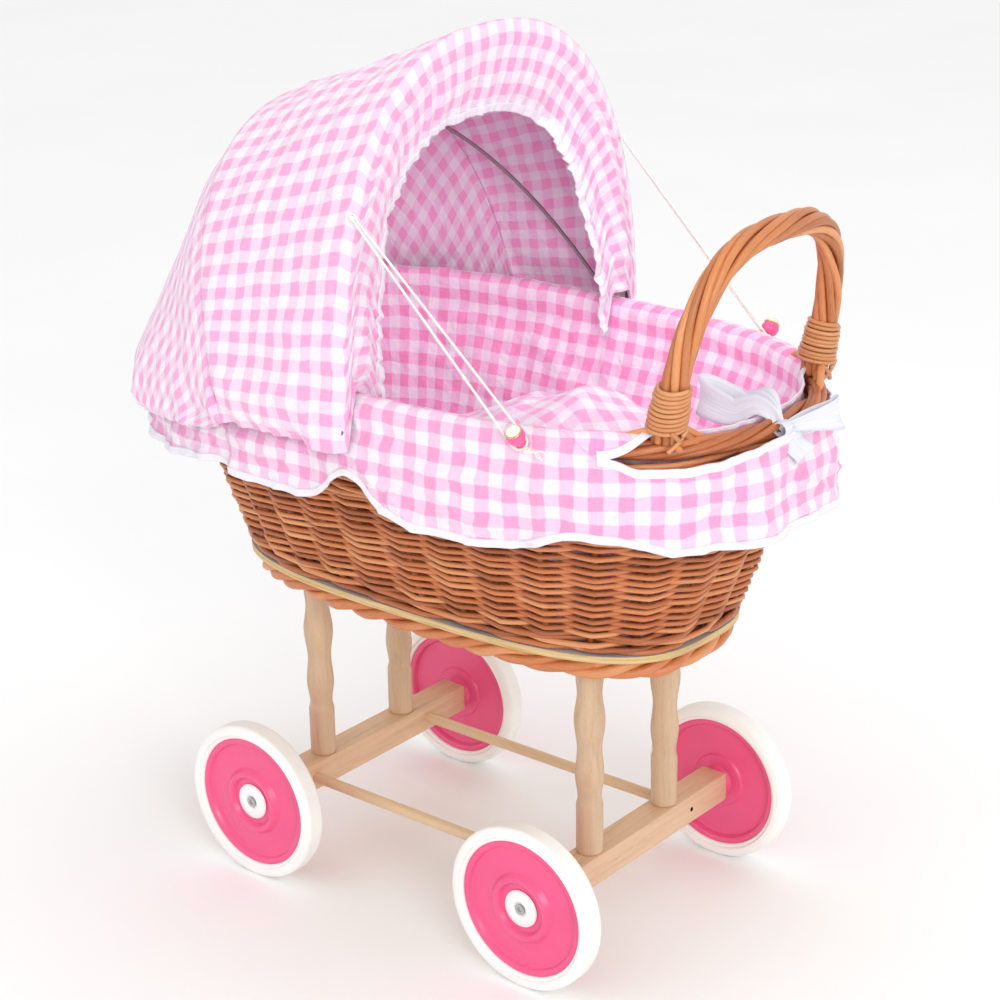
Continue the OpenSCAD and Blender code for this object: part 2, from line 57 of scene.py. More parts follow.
def camera():
    yaw, pitch, roll = (math.radians(v) for v in CAMERA_ANGLES)
    ahead = Vector((-math.sin(yaw) * math.cos(pitch), math.cos(yaw) * math.cos(pitch), -math.sin(pitch)))
    right = Vector((math.cos(yaw), math.sin(yaw), 0))
    up = right.cross(ahead)
    rows = (math.cos(roll) * right + math.sin(roll) * up, math.cos(roll) * up - math.sin(roll) * right, -ahead)
    data = bpy.data.cameras.new("camera")
    data.sensor_width = 36
    data.lens = CAMERA_LENS
    cam = bpy.data.objects.new("camera", data)
    cam.matrix_world = Matrix(rows).transposed().to_4x4()
    cam.location = CAMERA_PLACE
    bpy.context.collection.objects.link(cam)
    bpy.context.scene.camera = cam


def area_light(name, place, aim, size, power, hidden=False, spread=180):
    data = bpy.data.lights.new(name, "AREA")
    data.shape = "DISK"
    data.size = size
    data.energy = power
    data.spread = math.radians(spread)
    light = bpy.data.objects.new(name, data)
    light.visible_camera = not hidden
    light.location = place
    light.rotation_euler = (Vector(aim) - Vector(place)).to_track_quat("-Z", "Y").to_euler()
    bpy.context.collection.objects.link(light)


camera()
area_light("key", (2.3, -1.7, 1.45), (-0.05, 0, 0.42), 1.4, 27)
area_light("fill", (-1.2, -2.8, 1.6), (0, 0, 0.35), 1.8, 4)
area_light("top", (0.5, 0.4, 3.0), (0, 0, 0.3), 2.2, 8)
# the light that thin cotton lets through into the hood and the basket
area_light("hood_glow", (-0.02, 0.0, 0.57), (-0.12, 0.04, 0.40), 0.20, 0.075, True, 100)
area_light("basket_glow", (0.10, -0.08, 0.62), (0.07, 0.14, 0.36), 0.16, 0.05, True, 70)
world = bpy.data.worlds.new("world")
bpy.context.scene.world = world
world.use_nodes = True
world.node_tree.nodes["Background"].inputs[0].default_value = (1, 1, 1, 1)
world.node_tree.nodes["Background"].inputs[1].default_value = 0.93
bpy.context.scene.view_settings.view_transform = "Standard"

# ---- materials -----------------------------------------------------------------------------------


class Shader:
    """A Principled material with short helpers for adding nodes."""

    def __init__(self, name, color, rough, **sockets):
        self.mat = bpy.data.materials.new(name)
        self.mat.use_nodes = True
        self.tree = self.mat.node_tree
        self.bsdf = self.tree.nodes["Principled BSDF"]
        self.bsdf.inputs["Base Color"].default_value = (*color, 1)
        self.bsdf.inputs["Roughness"].default_value = rough
        for key, value in sockets.items():
            self.bsdf.inputs[key.replace("_", " ")].default_value = value

    def node(self, kind, links=(), **props):
        made = self.tree.nodes.new("ShaderNode" + kind)
        for key, value in props.items():
            setattr(made, key, value)
        for key, value in dict(links).items():
            if isinstance(value, bpy.types.NodeSocket):
                self.tree.links.new(value, made.inputs[key])
            else:
                made.inputs[key].default_value = value
        return made

    def math(self, op, a, b=0.0, clamp=False):
        return self.node("Math", {0: a, 1: b}, operation=op, use_clamp=clamp).outputs[0]

    def coords(self, kind="Object", scale=(1, 1, 1), spin=(0, 0, 0)):
        source = self.node("TexCoord").outputs[kind]
        return self.node("Mapping", {"Vector": source, "Scale": scale, "Rotation": spin}).outputs[0]

    def noise(self, vector, scale, detail=3.0, rough=0.55, distortion=0.0):
        return self.node("TexNoise", {"Vector": vector, "Scale": scale, "Detail": detail, "Roughness": rough,
                                      "Distortion": distortion}).outputs[0]

    def mix(self, factor, a, b, mode="MIX"):
        made = self.node("Mix", data_type="RGBA", blend_type=mode)
        for slot, value in (("Factor", factor), ("A", a), ("B", b)):
            sockets = [s for s in made.inputs if s.name == slot and s.enabled]
            sock = sockets[0] if slot == "Factor" else [s for s in sockets if s.type == "RGBA"][0]
            if isinstance(value, bpy.types.NodeSocket):
                self.tree.links.new(value, sock)
            else:
                sock.default_value = (*value, 1) if isinstance(value, tuple) else value
        return [s for s in made.outputs if s.type == "RGBA"][0]

    def ramp(self, value, stops):
        made = self.node("ValToRGB", {0: value})
        ramp = made.color_ramp
        while len(ramp.elements) < len(stops):
            ramp.elements.new(0.5)
        for element, (place, color) in zip(ramp.elements, stops):
            element.position = place
            element.color = (*color, 1) if isinstance(color, tuple) else (color, color, color, 1)
        return made.outputs[0]

    def color(self, socket):
        self.tree.links.new(socket, self.bsdf.inputs["Base Color"])
        return self

    def rough(self, socket):
        self.tree.links.new(socket, self.bsdf.inputs["Roughness"])
        return self

    def bump(self, height, strength, distance):
        made = self.node("Bump", {"Height": height, "Strength": strength, "Distance": distance})
        self.tree.links.new(made.outputs[0], self.bsdf.inputs["Normal"])
        return self


def gingham(name, pink, half, white, strength=1.0):
    """Woven check: UV in metres, squares of 8.7 mm, with the streaky half-tone of thin cotton."""
    s = Shader(name, pink, 0.82, Sheen_Weight=0.25, Sheen_Roughness=0.5)
    uv = s.node("TexCoord").outputs["UV"]
    wobble = s.noise(uv, 32.0, 3.0)
    centred = s.node("VectorMath", {0: wobble, 1: (0.5, 0.5, 0.5)}, operation="SUBTRACT")
    shift = s.node("VectorMath", {0: centred.outputs[0],
                                  1: (0.0075, 0.0075, 0)}, operation="MULTIPLY").outputs[0]
    moved = s.node("VectorMath", {0: uv, 1: shift}, operation="ADD").outputs[0]
    parts = s.node("SeparateXYZ", {0: moved})
    bands = []
    for axis, stretch in (("X", (1500.0, 55.0, 1.0)), ("Y", (55.0, 1500.0, 1.0))):
        wave = s.math("SINE", s.math("MULTIPLY", parts.outputs[axis], 2 * math.pi / 0.0184))
        band = s.math("ADD", s.math("MULTIPLY", wave, 3.6), 0.5, clamp=True)
        thread = s.noise(s.node("Mapping", {"Vector": moved, "Scale": stretch}).outputs[0], 1.0, 2.0)
        bands.append(s.math("MULTIPLY", band, s.math("ADD", s.math("MULTIPLY", thread, 0.62), 0.62), clamp=True))
    total = s.math("MULTIPLY", s.math("ADD", bands[0], bands[1]), 0.5 * strength, clamp=True)
    s.color(s.ramp(total, [(0.0, white), (0.5, half), (1.0, pink)]))
    fine = s.noise(s.node("Mapping", {"Vector": uv, "Scale": (1.0, 1.0, 1.0)}).outputs[0], 900.0, 2.0)
    slow = s.noise(uv, 70.0, 4.0, 0.6, 0.6)
    s.bump(s.math("ADD", s.math("MULTIPLY", fine, 0.12), s.math("MULTIPLY", slow, 0.88)), 0.9, 0.003)
    return s.mat


def wood(name, light, dark, stretch, rough=0.5):
    """Turned or planed beech: short fine flecks and soft bands along the grain."""
    s = Shader(name, light, rough, Coat_Weight=0.15, Coat_Roughness=0.35)
    vector = s.coords("Object", stretch)
    bands = s.noise(vector, 9.0, 4.0, 0.6, 1.2)
    flecks = s.noise(s.coords("Object", tuple(v * 3.0 for v in stretch)), 40.0, 2.0)
    tone = s.math("ADD", s.math("MULTIPLY", bands, 0.75), s.math("MULTIPLY", flecks, 0.35))
    s.color(s.ramp(tone, [(0.30, dark), (0.52, light), (0.75, tuple(min(1, v * 1.12) for v in light))]))
    s.rough(s.ramp(bands, [(0.2, rough + 0.1), (0.8, rough - 0.06)]))
    return s.bump(flecks, 0.18, 0.0006).mat


def willow(name, dark, mid, light, gloss=0.3):
    """Steamed and varnished willow: UV x runs along a rod in metres; tone differs from rod to rod."""
    s = Shader(name, mid, 0.4, Coat_Weight=gloss, Coat_Roughness=0.22)
    tone = s.node("Attribute", attribute_name="tone").outputs["Fac"]
    along = s.noise(s.coords("UV", (14.0, 0.6, 1.0)), 1.6, 3.0)
    fibre = s.noise(s.coords("UV", (45.0, 9.0, 1.0)), 3.0, 3.0)
    value = s.math("ADD", s.math("ADD", s.math("MULTIPLY", tone, 0.62), s.math("MULTIPLY", along, 0.38)),
                   s.math("MULTIPLY", s.math("SUBTRACT", fibre, 0.5), 0.35))
    s.color(s.ramp(value, [(0.12, dark), (0.48, mid), (0.85, light)]))
    s.rough(s.ramp(fibre, [(0.2, 0.3), (0.8, 0.5)]))
    return s.bump(fibre, 0.3, 0.0006).mat


def plastic(name, color, rough, grain=0.0003, **sockets):
    s = Shader(name, color, rough, **sockets)
    fine = s.noise(s.coords("Object"), 420.0, 3.0)
    slow = s.noise(s.coords("Object"), 22.0, 2.0)
    s.color(s.ramp(slow, [(0.3, tuple(v * 0.95 for v in color)), (0.7, tuple(min(1, v * 1.03) for v in color))]))
    s.rough(s.ramp(fine, [(0.3, rough * 0.85), (0.7, min(1.0, rough * 1.2))]))
    return s.bump(fine, 0.25, grain).mat


def metal(name, color, rough):
    s = Shader(name, color, rough, Metallic=1.0)
    lines = s.noise(s.coords("Object", (1, 1, 1)), 650.0, 3.0)
    s.color(s.ramp(lines, [(0.3, tuple(v * 0.8 for v in color)), (0.7, color)]))
    s.rough(s.ramp(lines, [(0.3, rough * 0.8), (0.7, min(1.0, rough * 1.3))]))
    return s.bump(lines, 0.2, 0.0002).mat


def tape(name, color, stitches=True):
    """White bias tape: UV x along the tape, y from 0 to 1 across it, with a line of stitches."""
    s = Shader(name, color, 0.8, Sheen_Weight=0.2)
    uv = s.node("SeparateXYZ", {0: s.node("TexCoord").outputs["UV"]})
    fine = s.noise(s.coords("UV", (700.0, 6.0, 1.0)), 1.0, 2.0)
    tone = s.ramp(fine, [(0.3, tuple(v * 0.93 for v in color)), (0.7, color)])
    dash = s.math("GREATER_THAN", s.math("FRACT", s.math("MULTIPLY", uv.outputs["X"], 1 / 0.0034)), 0.35)
    line = s.math("LESS_THAN", s.math("ABSOLUTE", s.math("SUBTRACT", uv.outputs["Y"], 0.5)), 0.045)
    mark = s.math("MULTIPLY", dash, line)
    s.color(s.mix(s.math("MULTIPLY", mark, 0.35), tone, (0.72, 0.62, 0.70)) if stitches else tone)
    return s.bump(s.math("SUBTRACT", s.math("MULTIPLY", fine, 0.3), mark), 0.4, 0.0006).mat


PINK, HALF, WHITE = (0.91, 0.36, 0.63), (0.88, 0.62, 0.80), (0.87, 0.81, 0.88)
M = {
    "gingham": gingham("gingham", PINK, HALF, WHITE),
    # painted shade: the skirt copy of the liner's one cloth is darker than the lining copy, for the shade on the skirt
    # hanging below the rim
    "skirt": gingham("skirt_gingham_painted_shade", (0.86, 0.31, 0.56), (0.85, 0.55, 0.74), (0.86, 0.78, 0.85)),
    # painted glow: the lining copy of the liner's one cloth is whiter and richer pink than the skirt copy, for light
    # through the cotton and bounced between the pink cloth inside; the pillow uses it too
    "lining": gingham("lining_gingham_painted_glow", (0.93, 0.28, 0.56), (0.92, 0.55, 0.78), (0.92, 0.80, 0.90)),
    "tape": tape("white_tape", (0.86, 0.82, 0.89)),
    "willow": willow("willow", (0.20, 0.045, 0.012), (0.57, 0.175, 0.055), (0.77, 0.36, 0.155), 0.16),
    "cane": willow("handle_willow", (0.30, 0.085, 0.022), (0.66, 0.24, 0.08), (0.84, 0.45, 0.20), 0.18),
    "peeled": willow("peeled_willow", (0.36, 0.12, 0.04), (0.60, 0.24, 0.085), (0.76, 0.40, 0.18), 0.3),
    "beech_x": wood("beech_x", (0.70, 0.50, 0.31), (0.58, 0.37, 0.20), (1, 14, 14)),
    "beech_y": wood("beech_y", (0.69, 0.46, 0.29), (0.55, 0.33, 0.185), (14, 1, 14)),
    # painted shade: the legs' beech is darker than the beams' and stretchers' beech, to offset the stronger light on
    # the turned legs
    "beech_z_painted_shade": wood("beech_z_painted_shade", (0.60, 0.42, 0.27), (0.49, 0.32, 0.19), (14, 14, 1)),
    "disc": plastic("pink_plastic", (0.86, 0.09, 0.25), 0.36, Coat_Weight=0.25, Coat_Roughness=0.2),
    "tyre": plastic("white_tyre", (0.93, 0.92, 0.89), 0.55),
    "bush": plastic("white_bush", (0.88, 0.88, 0.88), 0.3, Coat_Weight=0.2),
    "zinc": metal("zinc", (0.60, 0.60, 0.58), 0.35),
    "nail": metal("nail", (0.32, 0.31, 0.30), 0.45),
    "wire": metal("hoop_wire", (0.36, 0.33, 0.35), 0.4),
    "elastic": tape("cream_elastic", (0.90, 0.87, 0.80), False),
    "bead": plastic("bead_pink", (0.86, 0.10, 0.30), 0.2, Coat_Weight=0.6),
    "cap": plastic("bead_cap", (0.88, 0.82, 0.70), 0.22, Coat_Weight=0.5),
    "brass": metal("brass_ring", (0.75, 0.50, 0.30), 0.25),
}


def board_material():
    s = Shader("board", (0.70, 0.50, 0.24), 0.6)
    up = s.node("SeparateXYZ", {0: s.node("NewGeometry").outputs["Normal"]}).outputs["Z"]
    grain = s.noise(s.coords("Object", (2, 2, 60)), 12.0, 3.0)
    edge = s.ramp(grain, [(0.3, (0.52, 0.32, 0.12)), (0.7, (0.74, 0.55, 0.28))])
    s.color(s.mix(s.math("GREATER_THAN", up, 0.5), edge, (0.55, 0.56, 0.56)))
    return s.bump(grain, 0.3, 0.0005).mat


def satin_material():
    s = Shader("satin_ribbon", (0.74, 0.74, 0.82), 0.36, Sheen_Weight=0.15)
    fine = s.noise(s.coords("UV", (900.0, 30.0, 1.0)), 1.0, 2.0)
    s.color(s.ramp(fine, [(0.3, (0.68, 0.68, 0.77)), (0.7, (0.80, 0.80, 0.87))]))
    return s.bump(fine, 0.2, 0.0004).mat


M["board"] = board_material()
M["satin"] = satin_material()
M["quilt"] = plastic("mattress_cotton", (0.90, 0.80, 0.83), 0.85, Sheen_Weight=0.2)

# ---- mesh helpers: all positions in millimetres --------------------------------------------------


def add_mesh(name, body, material, verts, quads, uv=None, tone=None, tris=None, tri_uv=None):
    verts, quads = np.asarray(verts, float), np.asarray(quads, int)
    tris = np.zeros((0, 3), int) if tris is None else np.asarray(tris, int)
    mesh = bpy.data.meshes.new(name)
    mesh.vertices.add(len(verts))
    mesh.vertices.foreach_set("co", (verts * MM).ravel())
    mesh.loops.add(quads.size + tris.size)
    mesh.loops.foreach_set("vertex_index", np.concatenate([quads.ravel(), tris.ravel()]))
    mesh.polygons.add(len(quads) + len(tris))
    start = np.concatenate([np.arange(len(quads)) * 4, quads.size + np.arange(len(tris)) * 3])
    mesh.polygons.foreach_set("loop_start", start)
    mesh.polygons.foreach_set("use_smooth", np.full(len(start), True))
    mesh.update(calc_edges=True)
    if uv is not None:
        parts = [np.asarray(uv, float).ravel()] + ([np.asarray(tri_uv, float).ravel()] if len(tris) else [])
        mesh.uv_layers.new(name="UVMap").data.foreach_set("uv", np.concatenate(parts))
    if tone is not None:
        mesh.attributes.new("tone", "FLOAT", "POINT").data.foreach_set("value", np.asarray(tone, float))
    mesh.validate()
    obj = bpy.data.objects.new(name, mesh)
    bpy.context.collection.objects.link(obj)
    mesh.materials.append(M[material] if isinstance(material, str) else material)
    if body:
        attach(obj, body)
    return obj


def grid_faces(rows, cols, wrap_rows=False, wrap_cols=False):
    i, j = np.meshgrid(np.arange(rows - (not wrap_rows)), np.arange(cols - (not wrap_cols)), indexing="ij")
    i, j = i.ravel(), j.ravel()
    i2, j2 = (i + 1) % rows, (j + 1) % cols
    faces = np.stack([i * cols + j, i * cols + j2, i2 * cols + j2, i2 * cols + j], 1)
    corners = np.stack([np.stack([a, b], 1) for a, b in ((i, j), (i, j + 1), (i + 1, j + 1), (i + 1, j))], 1)
    return faces, corners


def sheet_mesh(name, body, material, points, uv, thick=0.0, wrap_cols=False):
    """points is rows x columns x 3; uv is rows x columns (one more column when wrapped) x 2, in mm."""
    rows, cols = points.shape[:2]
    faces, corners = grid_faces(rows, cols, False, wrap_cols)
    loops = (uv * MM)[corners[..., 0], corners[..., 1]]
    obj = add_mesh(name, body, material, points.reshape(-1, 3), faces, loops)
    if thick:
        solid = obj.modifiers.new("thickness", "SOLIDIFY")
        solid.thickness = thick * MM
        solid.offset = 0
    return obj


def unit(v):
    return v / np.maximum(np.linalg.norm(v, axis=-1, keepdims=True), 1e-12)


def tube(path, radius, sides=8, closed=False, up=None):
    """Vertices, quads and corner UVs of a round tube; UV x is the length in metres."""
    path = np.asarray(path, float)
    n = len(path)
    ahead = np.roll(path, -1, 0) if closed else np.vstack([path[1:], 2 * path[-1] - path[-2]])
    behind = np.roll(path, 1, 0) if closed else np.vstack([2 * path[0] - path[1], path[:-1]])
    tangent = unit(ahead - behind)
    if up is None:
        frames = [unit(np.cross(tangent[0], [0.31, 0.52, 0.79]))]
        for k in range(1, n):
            frames.append(unit(frames[-1] - tangent[k] * np.dot(frames[-1], tangent[k])))
        side = np.array(frames)
    else:
        side = unit(np.cross(tangent, up))
    other = np.cross(side, tangent)
    angle = np.arange(sides) * 2 * math.pi / sides
    radius = np.broadcast_to(np.asarray(radius, float), (n,))
    ring = side[:, None] * np.cos(angle)[None, :, None] + other[:, None] * np.sin(angle)[None, :, None]
    verts = (path[:, None] + ring * radius[:, None, None]).reshape(-1, 3)
    faces, corners = grid_faces(n, sides, closed, True)
    step = np.linalg.norm(np.diff(np.vstack([path, path[:1]]) if closed else path, axis=0), axis=1)
    length = np.concatenate([[0], np.cumsum(step)]) * MM
    uv = np.stack([length[corners[..., 0]], corners[..., 1] / sides], -1)
    if closed:
        return verts, faces, uv, None, None
    tips, tris, tri_uv = [], [], []
    for end, k in ((0, 0), (1, n - 1)):
        tips.append(path[k] + tangent[k] * radius[k] * (0.3 if end else -0.3))
        for a in range(sides):
            pair = [a, (a + 1) % sides] if end else [(a + 1) % sides, a]
            tris.append([k * sides + pair[0], k * sides + pair[1], len(verts) + end])
            tri_uv.append([[length[k], a / sides], [length[k], (a + 1) / sides], [length[k], 0.5]])
    return np.vstack([verts, tips]), faces, uv, np.array(tris), np.array(tri_uv)


def rods(name, body, material, paths, radii, tones, sides=8, closed=False, up=None, replaces=()):
    """Many tubes as one piece; tones is one number, or one for each point, per rod."""
    verts, faces, uvs, tone_all, tris, tri_uv = [], [], [], [], [], []
    base = 0
    for path, radius, tone in zip(paths, radii, tones):
        v, f, uv, caps, caps_uv = tube(path, radius, sides, closed, up)
        shift = np.array([rng.uniform(0, 30), 0])
        verts.append(v)
        faces.append(f + base)
        uvs.append(uv + shift)
        value = np.repeat(np.broadcast_to(np.asarray(tone, float), (len(path),)), sides)
        tone_all.append(np.concatenate([value, np.full(len(v) - len(value), value[-1])]))
        if caps is not None:
            tris.append(caps + base)
            tri_uv.append(caps_uv + shift)
        base += len(v)
    obj = add_mesh(name, body, material, np.vstack(verts), np.vstack(faces), np.vstack(uvs), np.concatenate(tone_all),
                   np.vstack(tris) if tris else None, np.vstack(tri_uv) if tris else None)
    if replaces:
        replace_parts(obj, *replaces)
    return obj


def noise2(x, y, seed=0):
    """Smooth value noise from -1 to 1 on a unit lattice."""
    x, y = np.broadcast_arrays(np.asarray(x, float), np.asarray(y, float))
    xi, yi = np.floor(x).astype(np.int64), np.floor(y).astype(np.int64)
    u, v = x - xi, y - yi
    u, v = u * u * (3 - 2 * u), v * v * (3 - 2 * v)

    def corner(i, j):
        n = (i * 374761393 + j * 668265263 + seed * 97463477) & 0xFFFFFFFF
        n = ((n ^ (n >> 13)) * 1274126177) & 0xFFFFFFFF
        return ((n ^ (n >> 16)) & 0xFFFF) / 32767.5 - 1

    low = corner(xi, yi) * (1 - u) + corner(xi + 1, yi) * u
    high = corner(xi, yi + 1) * (1 - u) + corner(xi + 1, yi + 1) * u
    return low * (1 - v) + high * v


def fractal(x, y, seed=0, octaves=3):
    return sum(noise2(x * 2 ** k, y * 2 ** k, seed + 17 * k) / 2 ** k for k in range(octaves)) / 1.6


def crease(x, y, seed=0):
    """Sharp ridges, 0 to 1, as in folded cotton."""
    return (1 - np.abs(noise2(x, y, seed) + 0.3 * noise2(2.1 * x, 2.1 * y, seed + 5))) ** 3


def smooth(t):
    t = np.clip(t, 0, 1)
    return t * t * (3 - 2 * t)


def spow(v, e):
    return np.sign(v) * np.abs(v) ** e


def oval(a, b, n, t):
    return np.stack([a * spow(np.cos(t), 2 / n), b * spow(np.sin(t), 2 / n)], -1)


def surface_normals(points):
    across = np.gradient(points, axis=1)
    along = np.gradient(points, axis=0)
    return unit(np.cross(across, along))


def path_length(points, axis):
    step = np.linalg.norm(np.diff(points, axis=axis), axis=-1)
    zero = np.zeros_like(np.take(step, [0], axis=axis))
    return np.cumsum(np.concatenate([zero, step], axis=axis), axis=axis)


# ---- sizes shared with the frame -----------------------------------------------------------------

AXLE_X, WHEEL_R = 132.2, 62.5
BASE_A, BASE_B, BASE_N = 203.0, 99.0, 3.0
RIM_A, RIM_B, RIM_N = 257.0, 148.0, 2.5
BOARD_TOP, WALL_TOP, BORDER_Z = 248.0, 407.0, 415.5
STAKES = 30


def rim(d, z, t):
    return np.concatenate([oval(RIM_A + d, RIM_B + d, RIM_N, t), np.broadcast_to(z, np.shape(t))[..., None]], -1)


def wall(h, d, t):
    h, d, t = np.broadcast_arrays(h, d, t)
    foot = oval(BASE_A - 7 + d, BASE_B - 7 + d, BASE_N, t)
    top = oval(RIM_A + d, RIM_B + d, RIM_N, t)
    xy = foot * (1 - h[..., None]) + top * h[..., None]
    return np.concatenate([xy, (BOARD_TOP + 0.3 + h * (WALL_TOP - BOARD_TOP - 0.3))[..., None]], -1)


def even_angles(count, a=228.0, b=122.0, n=2.7):
    """Angles that divide the basket's oval into equal lengths."""
    t = np.linspace(0, 2 * math.pi, 20001)
    run = path_length(oval(a, b, n, t), 0)
    return np.interp(np.arange(count) / count * run[-1], run, t)


ANGLES = even_angles(STAKES * 8)
STAKE_T = ANGLES[::8]

# ---- chassis and wheels --------------------------------------------------------------------------


def dress(material, *nodes):
    for node in nodes:
        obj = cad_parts[node]
        obj.data.materials.clear()
        obj.data.materials.append(M[material])


ENDS = (("handle", 1), ("hood", -1))
SIDES = (("left", -1), ("right", 1))
for end, _ in ENDS:
    for side, _ in SIDES:
        dress("tyre", f"tyre_{end}_{side}")
        dress("disc", f"disc_{end}_{side}")
        dress("bush", f"bush_{end}_{side}")
dress("zinc", "axle_screws", "axle_washers", "leg_screws", "board_screws", "hood_pivot_pins")
dress("nail", "dowel_nails")
dress("beech_x", "stretcher_left", "stretcher_right")
dress("board", "base_board")
dress("wire", "front_hoop", "rear_hoop")
dress("bead", "bead_left", "bead_right")
dress("zinc", "bead_pins")


def rounded_box(name, body, material, low, high, bevel, replaces):
    verts = [[(low, high)[i][0], (low, high)[j][1], (low, high)[k][2]] for i in (0, 1) for j in (0, 1) for k in (0, 1)]
    quads = [[0, 1, 3, 2], [4, 6, 7, 5], [0, 4, 5, 1], [2, 3, 7, 6], [0, 2, 6, 4], [1, 5, 7, 3]]
    obj = add_mesh(name, body, material, verts, quads)
    for poly in obj.data.polygons:
        poly.use_smooth = False
    mod = obj.modifiers.new("edges", "BEVEL")
    mod.width = bevel * MM
    mod.segments = 3
    mod.harden_normals = True
    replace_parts(obj, replaces)


for end, sign in ENDS:
    x, half = sign * AXLE_X, 11.3
    rounded_box(f"beam_{end}", "root", "beech_y",
                (x - half, -115, WHEEL_R - half), (x + half, 115, WHEEL_R + half), 1.1,
                f"axle_beam_{end}")

LEG_MARKS = ((0, 0), (38, 0), (44, -1.25), (62, 0.65), (83, -0.85), (106, 1.45), (127, -0.85), (140, 0.1), (170, 0.1))


def turned(u):
    """Extra radius of a turned leg at height u above its foot."""
    marks = np.array(LEG_MARKS, float)
    k = np.clip(np.searchsorted(marks[:, 0], u, side="right") - 1, 0, len(marks) - 2)
    part = (u - marks[k, 0]) / (marks[k + 1, 0] - marks[k, 0])
    return marks[k, 1] + (marks[k + 1, 1] - marks[k, 1]) * (1 - np.cos(math.pi * part)) / 2


for end, sx in ENDS:
    for side, sy in SIDES:
        u = np.linspace(0, 169.2, 120)
        path = np.stack([np.full_like(u, sx * AXLE_X), np.full_like(u, sy * 46.7), 73.8 + u], 1)
        ease = np.minimum(1, np.minimum(u, 169.2 - u) / 1.2) * 0.5 - 0.5
        rods(f"turned_leg_{end}_{side}", "root", "beech_z_painted_shade", [path], [10 + turned(u) + ease], [0.5], 40,
             replaces=[f"leg_{end}_{side}"])

# ---- willow work ---------------------------------------------------------------------------------


def broken_tone(count, low=0.15, high=0.9, pieces=2):
    """Tone along a row that changes where one rod ends and the next begins."""
    marks = np.sort(rng.integers(0, count, pieces))
    tones = rng.uniform(low, high, pieces + 1)
    tones[-1] = tones[0]
    return tones[np.searchsorted(marks, np.arange(count))]


def woven_wall():
    count = len(ANGLES)
    place = np.arange(count) / 8.0
    rows = 53
    paths, radii, tones = [], [], []
    for k in range(rows):
        h = (k + 0.6) / rows
        z = BOARD_TOP + h * 159
        wale = z < 259 or z > 340
        if wale:
            p = (place + k) % 3
            wave = np.interp(p, [0, 1, 2, 3], [-1, 1, 1, -1])
        else:
            p = (place + k) % 2
            wave = np.interp(p, [0, 1, 2], [1, -1, 1])
        wave = 0.14 * np.roll(wave, 1) + 0.72 * wave + 0.14 * np.roll(wave, -1)
        bump = np.repeat(rng.uniform(0.85, 1.15, STAKES), 8)
        reach = (5.0 if wale else 6.6) * wave * (0.5 * bump + 0.25 * np.roll(bump, 4) + 0.25 * np.roll(bump, -4))
        lift = 0.5 * noise2(place * 0.45, k * 3.1, 3) + 0.35 * noise2(place * 1.3, k * 5.3, 4)
        path = wall(h, reach + 0.3 * noise2(place * 0.7, k * 2.3, 5), ANGLES)
        path[:, 2] += lift * (1.8 if wale else 1.0)
        paths.append(path)
        size = 2.2 if wale else 1.85
        radii.append(size * (1 + 0.10 * noise2(place * 0.16, k * 7.7, 6)))
        tones.append(broken_tone(count) + 0.12 * noise2(place * 0.3, k * 1.9, 8))
    rods("woven_wall", "root", "willow", paths, radii, tones, 8, True, (0, 0, 1), ["basket_wall"])
    stakes = [wall(np.linspace(0.0, 0.985, 24), 0.0, t) for t in STAKE_T]
    rods("stakes", "root", "willow", stakes, [2.5] * STAKES, rng.uniform(0.0, 0.5, STAKES), 10,
         replaces=["basket_stakes"])


def rope_border(name, a, b, n, z, strands, radius, size, turns, tone, replaces):
    """A border of rods that wind round each other along an oval."""
    t = even_angles(turns * 36, a, b, n)
    phase = np.arange(len(t)) / len(t) * turns * 2 * math.pi
    paths, radii, tones = [], [], []
    for j in range(strands):
        angle = phase + j * 2 * math.pi / strands + 0.5 * noise2(phase * 0.35, j * 3.3, 21)
        out = radius * np.cos(angle)
        paths.append(np.concatenate([oval(a, b, n, t) * (1 + out / np.linalg.norm(oval(a, b, n, t), axis=1))[:, None],
                                     (z + radius * np.sin(angle) + 0.5 * noise2(phase * 0.2, j, 22))[:, None]], 1))
        radii.append(size * (1 + 0.12 * noise2(phase * 0.12, j * 5.1, 23)))
        tones.append(broken_tone(len(t), *tone, pieces=4))
    rods(name, "root", "willow", paths, radii, tones, 10, True, (0, 0, 1), replaces)


def arch(x, half, foot_z, apex_x, apex_z, e, t):
    s, c = spow(np.sin(t), 2 / e), spow(np.cos(t), 2 / e)
    return np.stack([x + (apex_x - x) * s, -half * c, foot_z + (apex_z - foot_z) * s], -1)


